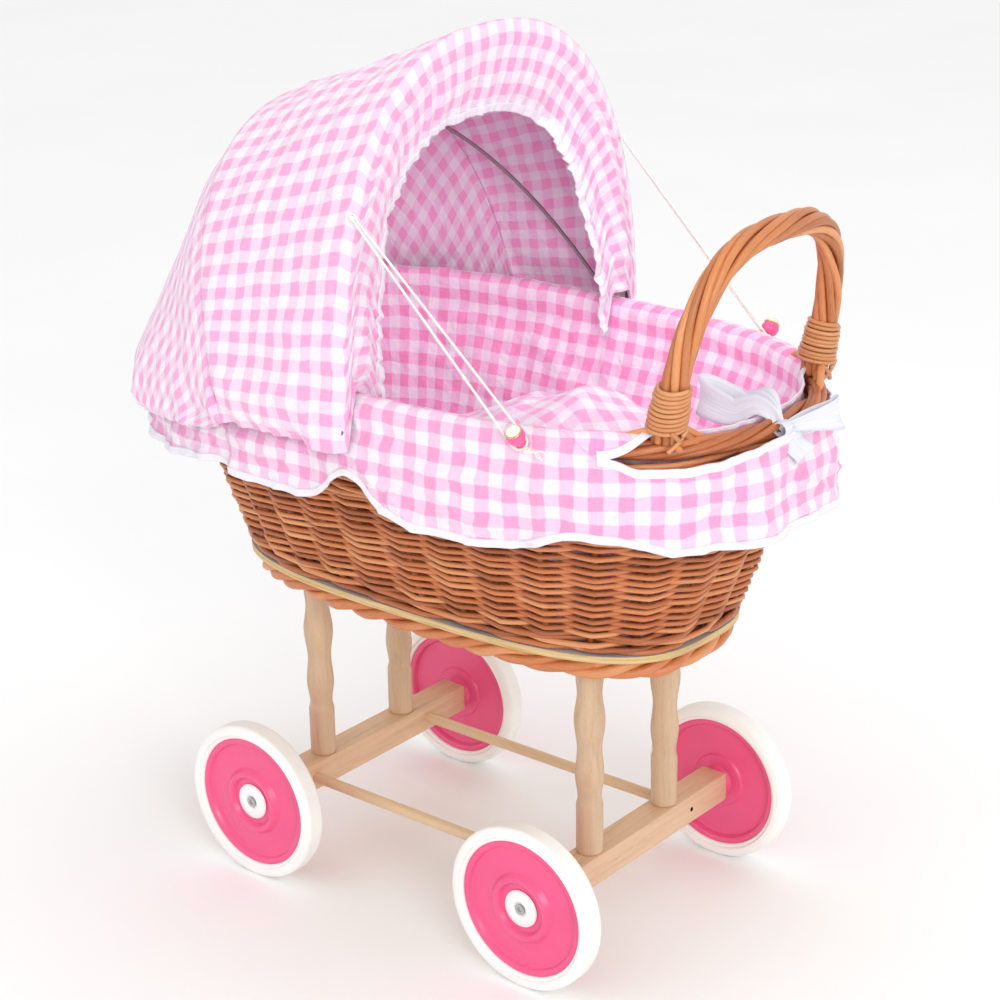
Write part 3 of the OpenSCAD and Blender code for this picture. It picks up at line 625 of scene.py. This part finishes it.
def handle():
    lean = math.radians(11.6)
    foot_z, rise, half, foot_x = 421.5, 128.0, 90.0, 224.0
    t = np.linspace(0, math.pi, 1201)
    fine = arch(foot_x, half, foot_z, foot_x + rise * math.sin(lean), foot_z + rise * math.cos(lean), 3.0, t)
    run = path_length(fine, 0)
    along = np.linspace(0, run[-1], 200)
    path = np.stack([np.interp(along, run, fine[:, k]) for k in range(3)], 1)
    tangent = unit(np.gradient(path, axis=0))
    side = unit(np.cross(tangent, [math.cos(lean), 0, -math.sin(lean)]))
    other = np.cross(side, tangent)
    turn = along / run[-1] * 1.5 * 2 * math.pi
    paths, radii, tones = [], [], []
    for j in range(8):
        angle = turn + 2 * math.pi * j / 8 + 0.16 * noise2(along / 45, j * 2.7, 31)
        reach = 6.5 + 0.35 * noise2(along / 30, j * 4.1, 32)
        paths.append(path + reach[:, None] * (np.cos(angle)[:, None] * side + np.sin(angle)[:, None] * other))
        radii.append(2.65 * (1 + 0.08 * noise2(along / 60, j * 6.1, 33)))
        tones.append(rng.uniform(0.15, 0.65) + 0.12 * noise2(along / 70, j, 34))
    paths.append(path)
    radii.append(np.full(200, 4.3))
    tones.append(0.1)
    rods("handle_twist", "root", "cane", paths, radii, tones, 14, replaces=["handle_rods", "handle_core"])
    up = np.array([math.sin(lean), 0, math.cos(lean)])
    front = np.array([math.cos(lean), 0, -math.sin(lean)])
    for name, sign in SIDES:
        foot = np.array([foot_x, sign * half, foot_z])
        turns, pitch = 10, 3.1
        a = np.linspace(0, turns * 2 * math.pi, turns * 28)
        grow = 12.6 - 2.0 * (a / a[-1]) + 0.45 * noise2(a / 4, sign, 42)
        coil = (foot + up * 8.5 + (a / (2 * math.pi) * pitch)[:, None] * up + (grow * np.cos(a))[:, None] * front
                + (grow * np.sin(a))[:, None] * np.array([0, 1.0, 0])
                + (1.9 * np.cos(a + sign * 1.2) + 0.5 * noise2(a / 5, sign, 43))[:, None] * up)
        tail = []
        for s0, s1 in ((-9, 9), (8, -7)):
            q = np.linspace(0, 1, 24)[:, None]
            start = foot + up * 12 + front * 10.6 + np.array([0, s0, 0])
            stop = foot + up * -3 + front * 9.0 + np.array([0, s1, 0])
            tail.append(start * (1 - q) + stop * q + front * 1.8 * np.sin(q * math.pi))
        rods(f"wrap_{name}", "root", "peeled", [coil] + tail, [1.5, 1.7, 1.6],
             [0.55 + 0.25 * noise2(a / 5, 0, 41), 0.4, 0.6], 10, replaces=[f"handle_wrap_{name}"])
        splay = []
        for j, (dx, dy) in enumerate(((2, -30), (-3, -17), (3, 17), (-2, 30), (6, 4), (-7, -3))):
            q = np.linspace(0, 1, 20)[:, None]
            start = foot + up * 12 + front * (4.5 * math.cos(j * 1.05)) + np.array([0, 4.5 * math.sin(j * 1.05), 0])
            stop_y = sign * half + dy
            stop = np.array([RIM_A * (1 - abs(stop_y / RIM_B) ** RIM_N) ** (1 / RIM_N) + dx, stop_y, 415.0])
            bend = np.array([0, 0, 1.0]) * 5 * np.sin(q * math.pi) ** 2
            splay.append(start * (1 - q ** 1.4) + stop * q ** 1.4 + bend * 0.3)
        rods(f"handle_ends_{name}", "root", "cane", splay, [2.7] * 6, rng.uniform(0.25, 0.75, 6), 10)


woven_wall()
rope_border("foot_plait", BASE_A - 10.5, BASE_B - 10.5, BASE_N, 234.6, 3, 4.1, 3.9, 12, (0.45, 0.9), ["foot_border"])
rope_border("rim_plait", RIM_A, RIM_B, RIM_N, BORDER_Z, 5, 4.3, 2.7, 9, (0.2, 0.75), ["rim_border"])
handle()

# ---- liner: lining, fold over the rim and skirt ----------------------------------------------------

SECTION = np.array([(12.8, 375.0), (11.2, 402.0), (10.8, 412.0), (9.8, 420.5), (6.2, 425.8), (0.0, 427.3)])
INNER = np.array([(0.0, 427.3), (-6.2, 425.8), (-9.8, 420.0), (-10.3, 411.0), (-9.6, 404.0)])
TIP = 47.0
LINER_T = even_angles(900, RIM_A, RIM_B, RIM_N)
LINER_RUN = path_length(rim(0.0, 420.0, np.append(LINER_T, 2 * math.pi)), 0)
RIM_LENGTH = LINER_RUN[-1]
LINER_DEG = np.degrees((LINER_T + math.pi) % (2 * math.pi) - math.pi)


def hem_height(t):
    """The hem hangs lower in places, and is caught up beside the hood's front edge."""
    x = rim(12.0, 0.0, t)[..., 0]
    return (347 + 24 * np.exp(-((x - 12) / 24) ** 2) + 9 * np.exp(-((x - 195) / 34) ** 2)
            - 9 * smooth((-150 - x) / 80) + 2.0 * np.sin(x / 24.0))


def rounded(points, times=3):
    for _ in range(times):
        mid = points.copy()
        mid[1:-1] = (points[:-2] + 2 * points[1:-1] + points[2:]) / 4
        points = mid
    return points


class Liner:
    """The whole liner from the skirt's hem over the rim to the floor; s is mm of cloth past the crest."""

    def __init__(self):
        rows_out, rows_in = 110, 170
        hem = hem_height(LINER_T)
        flare = 13.6 + 12 * smooth((np.abs(LINER_DEG) - 112) / 50)
        h = np.linspace(0.955, 0.0, 40)
        place, dist = [], []
        for k, t in enumerate(LINER_T):
            out = np.vstack([[flare[k], hem[k]], SECTION])
            into = np.vstack([rim(INNER[:, 0], INNER[:, 1], np.full(len(INNER), t)),
                              wall(h, -9.4 - 0.6 * np.sin(np.pi * h), np.full(40, t))])
            line = np.vstack([rim(out[:-1, 0], out[:-1, 1], np.full(len(out) - 1, t)), into])
            run = path_length(line, 0)
            crest = run[len(out) - 1]
            q = np.concatenate([np.linspace(0, crest, rows_out, endpoint=False), np.linspace(crest, run[-1], rows_in)])
            place.append(rounded(np.stack([np.interp(q, run, line[:, a]) for a in range(3)], 1), 6))
            dist.append(q - crest)
        points, s = np.stack(place, 1), np.stack(dist, 1)
        normal = surface_normals(np.concatenate([points, points[:, :1]], 1))[:, :-1]
        normal *= np.sign(np.sum(normal[5, 0] * np.array([1.0, 0, 0])))
        along = LINER_RUN[None, :-1] * np.ones_like(s)
        out = smooth((-s - 14) / 50)
        inside = smooth((s - 14) / 30)
        gather = smooth((np.abs(LINER_DEG)[None] - 85) / 40)
        wave = ((3.4 + 2.4 * gather) * noise2(along / 28, s / 130, 51)
                + (1.8 + 1.3 * gather) * noise2(along / 12, s / 70, 52))
        draped = (wave + 3.6 * crease(along / 40 + s / 34, s / 30, 54)
                  + 2.4 * crease(along / 24 - s / 30, s / 22, 58) - 1.5)
        puff = (out * (draped + 1.4) + 0.7 * noise2(along / 11, s / 16, 53) + 0.4 * noise2(along / 5, s / 7, 55)
                - 1.6 * np.exp(-((s + 27) / 7) ** 2) * (0.6 + noise2(along / 9, 2.0, 57))
                - inside * (1.5 * noise2(along / 34, s / 60, 61) + 1.6 * crease(along / 60 + s / 50, s / 34, 62)
                            + 0.6 * noise2(along / 10, s / 30, 63) + 0.7) * -1.0)
        self.points, self.normal, self.s = points + normal * puff[..., None], normal, s
        self.points[..., 2] += out * (1.6 * noise2(along / 24, 0.0, 56)) * smooth((-s - 40) / 30)

    def patch(self, low, high, rows, lift=0.0, pick=None):
        pick = np.arange(len(LINER_T)) if pick is None else pick
        q = np.linspace(0, 1, rows)[:, None]
        s = low[None] * (1 - q) + high[None] * q
        points = np.empty(s.shape + (3,))
        for m, k in enumerate(pick):
            for axis in range(3):
                lifted = self.points[:, k, axis] + lift * self.normal[:, k, axis]
                points[:, m, axis] = np.interp(s[:, m], self.s[:, k], lifted)
        return points, s


def liner():
    cloth = Liner()
    deg = np.abs(LINER_DEG)
    hem, bottom = cloth.s[0], cloth.s[-1]
    # the seam between the two halves runs along the crest, and round both sides of the cut-out
    seam = -21.0 * smooth((TIP + 9 - deg) / 9)
    low = np.where(deg < TIP, -21 - 7.5 * smooth((TIP - deg) / 9) + 8 * smooth(1 - deg / 30), seam)
    high = np.where(deg < TIP, -21 + 33 * smooth((TIP - deg) / 22), seam)
    along = LINER_RUN[None, :-1]

    def closed(uv):
        last = uv[:, :1].copy()
        last[..., 0] = RIM_LENGTH
        return np.concatenate([uv, last], 1)

    points, s = cloth.patch(hem, low, 50)
    skirt = sheet_mesh("skirt_cloth", "root", "skirt", points, closed(np.stack([along + 0 * s, s], -1)), 0.7, True)
    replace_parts(skirt, "skirt", "rim_roll")
    points, s = cloth.patch(hem - 0.3, hem + 5.6, 5, 0.75)
    uv = np.stack([along + 0 * s, np.linspace(0, 1, 5)[:, None] / MM + 0 * s], -1)
    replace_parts(sheet_mesh("skirt_tape", "root", "tape", points, closed(uv), 1.1, True), "skirt_binding")
    points, s = cloth.patch(high, bottom, 78)
    floors = np.stack([np.concatenate([points[-1][:, :2] * (1 - q), np.full((len(LINER_T), 1), 250.6)], 1)
                       for q in (0.06, 0.5, 0.97)])
    uv = np.stack([along + 0 * s, s], -1)
    deep = np.stack([np.stack([along[0], bottom + q * 95], -1) for q in (0.06, 0.5, 0.97)])
    lining = sheet_mesh("lining_cloth", "root", "lining", np.concatenate([points, floors]),
                        closed(np.concatenate([uv, deep])), 0.7, True)
    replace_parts(lining, "lining")
    order = np.argsort(LINER_DEG)
    pick = order[np.abs(LINER_DEG[order]) < TIP + 0.4]
    run = np.concatenate([[0], np.cumsum(np.linalg.norm(np.diff(cloth.points[100, pick], axis=0), axis=1))])
    for name, a, b in (("outer", low[pick] - 5.2, low[pick] + 0.8), ("inner", high[pick] - 0.8, high[pick] + 5.2)):
        points, s = cloth.patch(a, b, 6, 0.95, pick)
        uv = np.stack([run[None] + 0 * s, np.linspace(0, 1, 6)[:, None] / MM + 0 * s], -1)
        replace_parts(sheet_mesh(f"cutout_tape_{name}", "root", "tape", points, uv, 1.3), "cutout_binding")


liner()

# ---- hood ----------------------------------------------------------------------------------------

FRONT = dict(x=11.5, half=174.0, foot_z=391.0, apex_x=11.5, apex_z=656.6, e=2.45)
SEAM = dict(x=-100.0, half=169.0, foot_z=389.0, apex_x=-152.0, apex_z=597.0, e=2.4)
# foot x, apex x, apex z, half width, squareness
CAP = np.array([(-100, -152, 597, 169, 2.4), (-103, -192, 557, 168, 2.2), (-108, -230, 502, 166, 2.0),
                (-114, -260, 445, 165, 2.15), (-122, -278, 405, 165, 2.3), (-130, -276, 371, 165, 2.45)], float)
COLS = 520
_t = np.linspace(0, math.pi, 4001)
_run = path_length(arch(**FRONT, t=_t), 0)
ARCH_T = np.interp(np.linspace(0, _run[-1], COLS), _run, _t)
ARCH_RUN = np.linspace(0, _run[-1], COLS)


def between(a, b, q):
    return {k: a[k] * (1 - q) + b[k] * q for k in a}


def hood_follow(piece):
    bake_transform(piece)


def hem_gather(x, along, height, depth, seed):
    """Draws the cloth in at its gathered hem, with puckers that die away above it."""
    near = smooth((depth - height) / depth)
    tuck = smooth((16 - height) / 16)
    pucker = near * (3.8 * noise2(along / 9.5, height / 80, seed) + 2.0 * noise2(along / 4.4, height / 40, seed + 1))
    balloon = 5.5 * np.exp(-((height - 30) / 18) ** 2)
    return (pucker + balloon - 7.0 * tuck) * (0.12 + 0.88 * smooth((-2 - x) / 26)) + 1.5 * near


def hood():
    rows = 64
    q = np.linspace(0, 1, rows)
    top = np.stack([arch(**between(FRONT, SEAM, v), t=ARCH_T) for v in q])
    sag = np.sin(np.pi * q)[:, None] * np.sin(ARCH_T)[None]
    normal = surface_normals(top)
    away = np.sign(np.sum(normal * (top - np.array([-60.0, 0, 420.0])), -1, keepdims=True))
    normal = normal * away
    x, z = top[..., 0], top[..., 2]
    along = path_length(top, 0)
    arc = ARCH_RUN[None] * np.ones((rows, 1))
    puff = (-2.2 * sag + 1.3 * noise2(arc / 60, along / 45, 71) + 0.7 * noise2(arc / 22, along / 24, 72)
            + 2.2 * crease(arc / 90 + along / 60, along / 26, 73) * np.sin(np.pi * q)[:, None]
            + 1.6 * crease(arc / 50 - along / 70, along / 50, 77)
            + hem_gather(x, x, z - 388, 60, 74))
    puff = puff * smooth(q / 0.04)[:, None] * smooth((1 - q) / 0.06)[:, None]
    top = top + normal * puff[..., None]
    uv = np.stack([arc, along], -1)
    a = sheet_mesh("hood_top_cloth", None, "gingham", top, uv, 0.7)
    # gathered back
    rows = 84
    marks = np.stack([np.interp(np.linspace(0, 1, 240), np.linspace(0, 1, 6), CAP[:, k]) for k in range(5)], 1)
    marks = rounded(marks, 400)
    marks = np.stack([np.interp(np.linspace(0, 1, rows), np.linspace(0, 1, 240), marks[:, k]) for k in range(5)], 1)
    foot = np.linspace(389, 376, rows)
    cap = np.stack([arch(m[0], m[3], f, m[1], m[2], m[4], ARCH_T) for m, f in zip(marks, foot)])
    normal = surface_normals(cap)
    normal = normal * np.sign(np.sum(normal * (cap - np.array([-110.0, 0, 430.0])), -1, keepdims=True))
    along = path_length(cap, 0)
    arc = ARCH_RUN[None] * np.ones((rows, 1))
    v = np.linspace(0, 1, rows)[:, None]
    spread = np.sin(ARCH_T)[None] ** 0.5
    edge = smooth((v - 0.55) / 0.45) * spread
    puff = (smooth(v / 0.08) * (1.6 * noise2(arc / 48, along / 60, 81)
                                + 1.3 * crease(arc / 40, along / 90 + arc / 90, 82)
                                + 1.0 * noise2(arc / 17, along / 50, 83) * (0.4 + v))
            + edge * (3.0 * noise2(arc / 15, along / 90, 84) + 1.5 * noise2(arc / 7, along / 60, 85))
            - 7.0 * smooth((v - 0.93) / 0.07) * spread
            + hem_gather(cap[..., 0], cap[..., 0], cap[..., 2] - 385, 46, 86) * (1 - spread)
            )
    puff = puff * smooth(v / 0.05)
    cap = cap + normal * puff[..., None]
    uv = np.stack([arc, along], -1)
    b = sheet_mesh("hood_back_cloth", None, "gingham", cap, uv, 0.7)
    # visor
    rows = 26
    inner = dict(x=11.0, half=124.5, foot_z=386.0, apex_x=-6.9, apex_z=590.2, e=2.6)
    outer = dict(FRONT)

    def band(u, extra=0.0):
        """The visor's arch at u; its ends lie over the rim, outside, on top and inside."""
        y_end = outer["half"] * (1 - u) + inner["half"] * u
        z_end = 389 + 43 * smooth((165.5 - y_end) / 9) - 30 * smooth((143 - y_end) / 16)
        both = between(outer, inner, u)
        lo = math.asin(max(0.0, (z_end - both["foot_z"]) / (both["apex_z"] - both["foot_z"])) ** (both["e"] / 2))
        ratio = ARCH_T / math.pi
        p = arch(**both, t=lo + (math.pi - 2 * lo) * ratio)
        p[:, 0] += 4.2 * math.sin(min(1.0, u * 4) * math.pi / 2) + extra
        return p

    def pleats(u, arc):
        fine = noise2(arc / 6.4, u * 0.8, 91) + 0.35 * noise2(arc / 3.6, u * 1.2, 92)
        ends = np.exp(-np.minimum(arc, ARCH_RUN[-1] - arc) / 40)
        return smooth(u / 0.1) * ((0.5 + 2.4 * u ** 1.2) * fine + 2.6 * np.sin(np.pi * u)
                                  + 1.4 * noise2(arc / 34, u * 3, 93)
                                  + ends * 3 * noise2(arc / 12, u * 6, 95))

    us = np.linspace(0, 0.95, rows)
    visor = np.stack([band(u) for u in us])
    arc = ARCH_RUN[None] * np.ones((rows, 1))
    visor[..., 0] += pleats(us[:, None], arc)
    along = path_length(visor, 0)
    uv = np.stack([arc, -along], -1)
    c = sheet_mesh("visor_cloth", None, "gingham", visor, uv, 0.7)
    us = np.linspace(0.90, 1.0, 6)
    trim = np.stack([band(u, 0.9) for u in us])
    arc = ARCH_RUN[None] * np.ones((6, 1))
    trim[..., 0] += pleats(us[:, None], arc) + 0.5 * noise2(arc / 3.6, us[:, None] * 8, 94)
    uv = np.stack([arc, np.linspace(0, 1, 6)[:, None] / MM * np.ones((1, COLS))], -1)
    d = sheet_mesh("visor_trim", None, "tape", trim, uv, 1.1)
    for piece, node in ((a, "hood_cover_top"), (c, "visor"), (d, "visor_elastic")):
        hood_follow(piece)
        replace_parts(piece, node)
    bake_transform(b)
    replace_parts(b, "hood_cover_back")


hood()

# ---- bedding, bow, beads and stays ---------------------------------------------------------------


def swell(obj, cap, turn):
    """Blows a closed cushion up with Blender's cloth, no point moving further than cap, then maps its checks."""
    scene = bpy.context.scene
    mod = obj.modifiers.new("remesh", "REMESH")
    mod.mode = "VOXEL"
    mod.voxel_size = 0.005
    obj.data = bpy.data.meshes.new_from_object(obj.evaluated_get(bpy.context.evaluated_depsgraph_get()))
    obj.modifiers.clear()
    before = np.empty(len(obj.data.vertices) * 3)
    obj.data.vertices.foreach_get("co", before)
    cloth = obj.modifiers.new("cloth", "CLOTH")
    cloth.settings.use_pressure = True
    cloth.settings.uniform_pressure_force = 4.0
    cloth.settings.effector_weights.gravity = 0
    cloth.settings.quality = 5
    cloth.settings.mass = 0.2
    cloth.settings.tension_stiffness = cloth.settings.compression_stiffness = 25
    cloth.settings.bending_stiffness = 1.5
    cloth.collision_settings.use_self_collision = False
    cloth.point_cache.frame_start, cloth.point_cache.frame_end = 1, 20
    for step in range(1, 21):
        scene.frame_set(step)
    moved = obj.evaluated_get(bpy.context.evaluated_depsgraph_get()).data
    after = np.empty(len(before))
    moved.vertices.foreach_get("co", after)
    obj.modifiers.clear()
    shift = (after - before).reshape(-1, 3)
    size = np.linalg.norm(shift, axis=1, keepdims=True)
    shift *= np.minimum(1, cap * MM / np.maximum(size, 1e-9))
    obj.data.vertices.foreach_set("co", (before.reshape(-1, 3) + shift).ravel())
    obj.data.update()
    scene.frame_set(1)
    obj.modifiers.new("smooth", "SUBSURF").render_levels = 1
    obj.data.polygons.foreach_set("use_smooth", np.full(len(obj.data.polygons), True))
    points = np.empty(len(obj.data.vertices) * 3)
    obj.data.vertices.foreach_get("co", points)
    points = points.reshape(-1, 3)
    corner = np.empty(len(obj.data.loops), int)
    obj.data.loops.foreach_get("vertex_index", corner)
    c, sn = math.cos(turn), math.sin(turn)
    x, y = points[corner, 0], points[corner, 1]
    layer = obj.data.uv_layers[0] if obj.data.uv_layers else obj.data.uv_layers.new(name="UVMap")
    layer.data.foreach_set("uv", np.stack([x * c - y * sn, x * sn + y * c], 1).ravel())


def pad(name, centre, size, n, square, height, crown, material, node, turn=0.0, seed=0, bumps=2.0):
    """A stuffed cushion: crowned top and bottom, pinched edge, soft dents."""
    rows, cols = 40, 120
    v = np.linspace(-math.pi / 2, math.pi / 2, rows)[:, None]
    t = np.linspace(0, 2 * math.pi, cols, endpoint=False)[None]
    radius = np.cos(v) ** crown
    ring = oval(size[0], size[1], n, t) * radius[..., None]
    x, y = ring[..., 0] + 0 * v, ring[..., 1] + 0 * v
    z = height / 2 * spow(np.sin(v), square) + 0 * t
    rumple = fractal(x / 42 + seed, y / 42, seed + 101) + 0.6 * crease(x / 60, y / 48 + seed, seed + 103)
    soft = bumps * rumple * (z > 0)
    soft = soft * smooth(radius + 0 * t + 0.2)
    points = np.stack([x, y, z + soft], -1)
    c, s = math.cos(turn), math.sin(turn)
    uv = np.stack([x * c - y * s, x * s + y * c], -1)
    points = points + np.array(centre)
    obj = sheet_mesh(name, "root", material, points, np.concatenate([uv, uv[:, :1]], 1), 0, True)
    swell(obj, 6, turn)
    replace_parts(obj, node)


MATTRESS_Z = 249.6
pad("mattress_pad", (0, 0, MATTRESS_Z + 13.5), (181, 77), 3.0, 0.5, 25, 0.22, "quilt", "mattress", bumps=0.6)
# the pillow takes the lining copy of the cloth, with its painted glow
pad("pillow_pad", (-118, 0, 294.0), (58, 74), 3.4, 0.75, 34, 0.45, "lining", "pillow", 0.2, 3)


def duvet():
    """Thick folded quilt that fills the handle half of the basket and swells towards the rim."""
    rows, cols = 90, 150
    q = np.linspace(0, 1, rows)[:, None]
    t = np.linspace(0, 2 * math.pi, cols, endpoint=False)[None]
    reach = np.interp(q, [0, 0.12, 0.32, 0.48, 1.0], [0.02, 0.92, 1.0, 0.97, 0.02])
    level = np.interp(q, [0, 0.12, 0.32, 0.48, 0.62, 0.8, 1.0], [277.5, 279, 318, 352, 372, 384, 388])
    ring = oval(128, 98, 2.7, t)
    x, y = ring[..., 0] * reach + 64, ring[..., 1] * reach
    z = level + 0 * t
    upper = smooth((q - 0.36) / 0.2)
    mound = 22 * np.exp(-(((x - 100) / 42) ** 2 + ((y + 8) / 60) ** 2)) - 16 * np.exp(-(((x + 20) / 40) ** 2))
    folds = 7.0 * fractal(x / 46, y / 52, 111) + 6.5 * crease((x + 0.6 * y) / 62, (y - 0.4 * x) / 70, 112) - 3
    z = z + upper * (mound + folds) - upper * 10 * smooth((y - 20) / 60)
    x = x + (1 - upper) * 2.0 * noise2(t * 8, q * 6, 113) * np.cos(t)
    points = np.stack([x, y + 0 * z, z], -1)
    c, s = math.cos(0.45), math.sin(0.45)
    uv = np.stack([x * c - y * s, x * s + y * c], -1)
    obj = sheet_mesh("duvet_quilt", "root", "gingham", points, np.concatenate([uv, uv[:, :1]], 1), 0, True)
    swell(obj, 6, 0.45)
    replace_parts(obj, "duvet")


duvet()


def ribbon(path, widths, normal_turn):
    """Strip of ribbon along path; normal_turn tilts its width, in radians, at each point."""
    path = np.asarray(path, float)
    tangent = unit(np.gradient(path, axis=0))
    base = unit(np.cross(tangent, [0.05, 0.02, 1.0]))
    lift = np.cross(base, tangent)
    turn = np.asarray(normal_turn, float)[:, None]
    across = np.cos(turn) * lift + np.sin(turn) * base
    k = np.linspace(-0.5, 0.5, 7)[None, :, None]
    bow = np.cross(across, tangent)[:, None] * (1.2 * np.cos(k * math.pi))
    return path[:, None] + across[:, None] * k * np.asarray(widths, float)[:, None, None] + bow


def bow():
    knot = np.array([265.0, -12.0, 417.0])
    q = np.linspace(0, 1, 44)

    def loop(direction, length, width, fat, seed):
        direction = unit(np.array(direction, float))
        side = unit(np.cross(direction, [0, 0, 1.0]))
        out = np.sin(q * math.pi)
        swing = np.sin(q * 2 * math.pi)
        over = 11 * np.sin(np.minimum(1, length * out / 34) * math.pi) if direction[0] < 0 else 0
        path = (knot + direction * (length * out)[:, None] + side * (fat * swing)[:, None]
                + np.array([0, 0, 1.0]) * (2.5 * out * np.sin(q * 3 + seed) + over)[:, None])
        return ribbon(path, 5 + (width - 5) * np.sin(q * math.pi) ** 0.7, 0.35 * np.sin(q * 5 + seed))

    def tail(direction, length, width, drop, seed):
        direction = unit(np.array(direction, float))
        over = 11 * np.sin(np.minimum(1, length * q / 34) * math.pi) if direction[0] < 0 else 0
        path = knot + direction * (length * q)[:, None] + np.array([0, 0, 1.0]) * (
            2.0 * np.sin(q * 6 + seed) * q - drop * q ** 2 + over)[:, None]
        return ribbon(path, 5 + (width - 5) * smooth(q * 2.2), 0.5 * np.sin(q * 4 + seed))

    strips = [loop((-60, -2, 9), 66, 26, 7, 0.4), loop((20, 42, 5), 44, 24, 6, 1.7),
              tail((-34, 10, 10), 44, 17, 5, 0.0), tail((8, 14, -17), 26, 18, 5, 2.0)]
    first = None
    for k, strip in enumerate(strips):
        rows, cols = strip.shape[:2]
        run = path_length(strip[:, cols // 2], 0)
        uv = np.stack([np.linspace(0, 20, cols)[None] * np.ones((rows, 1)), run[:, None] * np.ones((1, cols))], -1)
        piece = sheet_mesh(f"bow_strip_{k}", "root", "satin", strip, uv, 0.35)
        if first is None:
            first = piece
            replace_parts(piece, "ribbon_bow")
    a, w = np.linspace(0, 2 * math.pi, 48, endpoint=False)[None], np.linspace(-5, 5, 9)[:, None]
    size = 4.8 + 0.7 * np.cos(w / 5 * 1.4) + 0.35 * np.sin(w * 2.2 + a)
    band = np.stack([size * np.cos(a) + 0 * w, w + 0 * a, size * 0.9 * np.sin(a)], -1) + knot
    uv = np.stack([np.linspace(0, 30, 49)[None] + 0 * w, w + np.zeros((1, 49))], -1)
    sheet_mesh("bow_knot", "root", "satin", band, uv, 0.4, True)


bow()


def lathe(name, body, material, profile, place, tilt, steps=40):
    profile = np.asarray(profile, float)
    a = np.linspace(0, 2 * math.pi, steps, endpoint=False)
    ring = np.stack([profile[:, :1] * np.cos(a), profile[:, :1] * np.sin(a), profile[:, 1:] + 0 * a], -1)
    spin = np.array(Matrix.Rotation(tilt, 3, "X"))
    points = ring @ spin.T + np.array(place)
    uv = np.zeros((len(profile), steps + 1, 2))
    return sheet_mesh(name, body, material, points, uv, 0, True)


for name, sign in SIDES:
    place = (150, sign * 149.5, 426.0)
    tilt = -sign * math.radians(35)
    lathe(f"bead_cap_{name}", "root", "cap",
          [(0.01, 8.3), (2.0, 8.0), (3.9, 7.0), (4.9, 5.6), (5.2, 4.6), (4.6, 4.2), (0.5, 4.0)], place, tilt)
    a = np.linspace(0, 2 * math.pi, 48, endpoint=False)
    ring = np.stack([5.3 * np.cos(a), 5.3 * np.sin(a), 4.0 + 0 * a], 1) @ np.array(Matrix.Rotation(tilt, 3, "X")).T
    rods(f"bead_ring_{name}", "root", "brass", [ring + np.array(place)], [0.7], [0.5], 8, True, (0, 0, 1))


def stays():
    for name, sign in SIDES:
        axis = np.array([0, sign * math.sin(math.radians(35)), math.cos(math.radians(35))])
        neck = np.array([150, sign * 149.5, 426.0]) - 7 * axis
        top = np.array([15.0, sign * 150.0, 550.0])
        ahead = unit(neck - top)
        across = unit(np.cross(ahead, axis))
        turn = np.linspace(-math.pi / 2, math.pi / 2, 15)
        bend = [neck + ahead * 5.0 * math.cos(v) * 0.95 + across * 5.0 * math.sin(v) for v in turn]
        count = 24
        down = [top + across * -0.9 + (bend[0] - top - across * -0.9) * k / count for k in range(count)]
        back = [bend[-1] + (top + across * 0.9 - bend[-1]) * (k + 1) / count for k in range(count)]
        path = np.array(down + bend + back)
        cord = rods(f"stay_cord_{name}", f"stay_{name}", "elastic", [path], [0.85], [0.5], 10)
        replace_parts(cord, f"stay_{name}")
        a = np.linspace(0, 4 * math.pi, 60)
        knot = np.stack([top[0] + 1.6 * np.cos(a), top[1] + 1.6 * np.sin(a) * sign + sign * 0.3,
                         top[2] + 3.2 * (a / a[-1] - 0.5)], 1)
        tie = rods(f"stay_knot_{name}", f"stay_{name}", "elastic", [knot], [0.9], [0.5], 8)
        end = neck + ahead * 6.5
        a = np.linspace(0, 5 * math.pi, 70)
        lump = end + np.stack([1.5 * np.cos(a) + a * 0.12, sign * 1.4 * np.sin(a), 1.2 * np.sin(a * 0.7)], 1)
        q = np.linspace(0, 1, 16)[:, None]
        frays = [lump] + [end + np.array([4.0, 0, 0]) + q * np.array([11.0, v * sign, w]) + np.sin(q * 4 + v) * 0.8
                          for v, w in ((1.5, -1.5), (-1.0, 0.5), (0.3, -3.0))]
        tail = rods(f"stay_tail_{name}", f"stay_{name}", "elastic", frays, [0.85, 0.55, 0.5, 0.45], [0.5] * 4, 8)


stays()

# ---- floor ---------------------------------------------------------------------------------------


def floor():
    half = 6000.0
    verts = [(-half, -half, 0), (half, -half, 0), (half, half, 0), (-half, half, 0)]
    s = Shader("floor", (0.96, 0.96, 0.96), 0.9)
    s.color(s.ramp(s.noise(s.coords("Object"), 3.0), [(0.3, (0.95, 0.95, 0.95)), (0.7, (0.97, 0.97, 0.97))]))
    obj = add_mesh("floor", None, s.mat, verts, [[0, 1, 2, 3]])


floor()
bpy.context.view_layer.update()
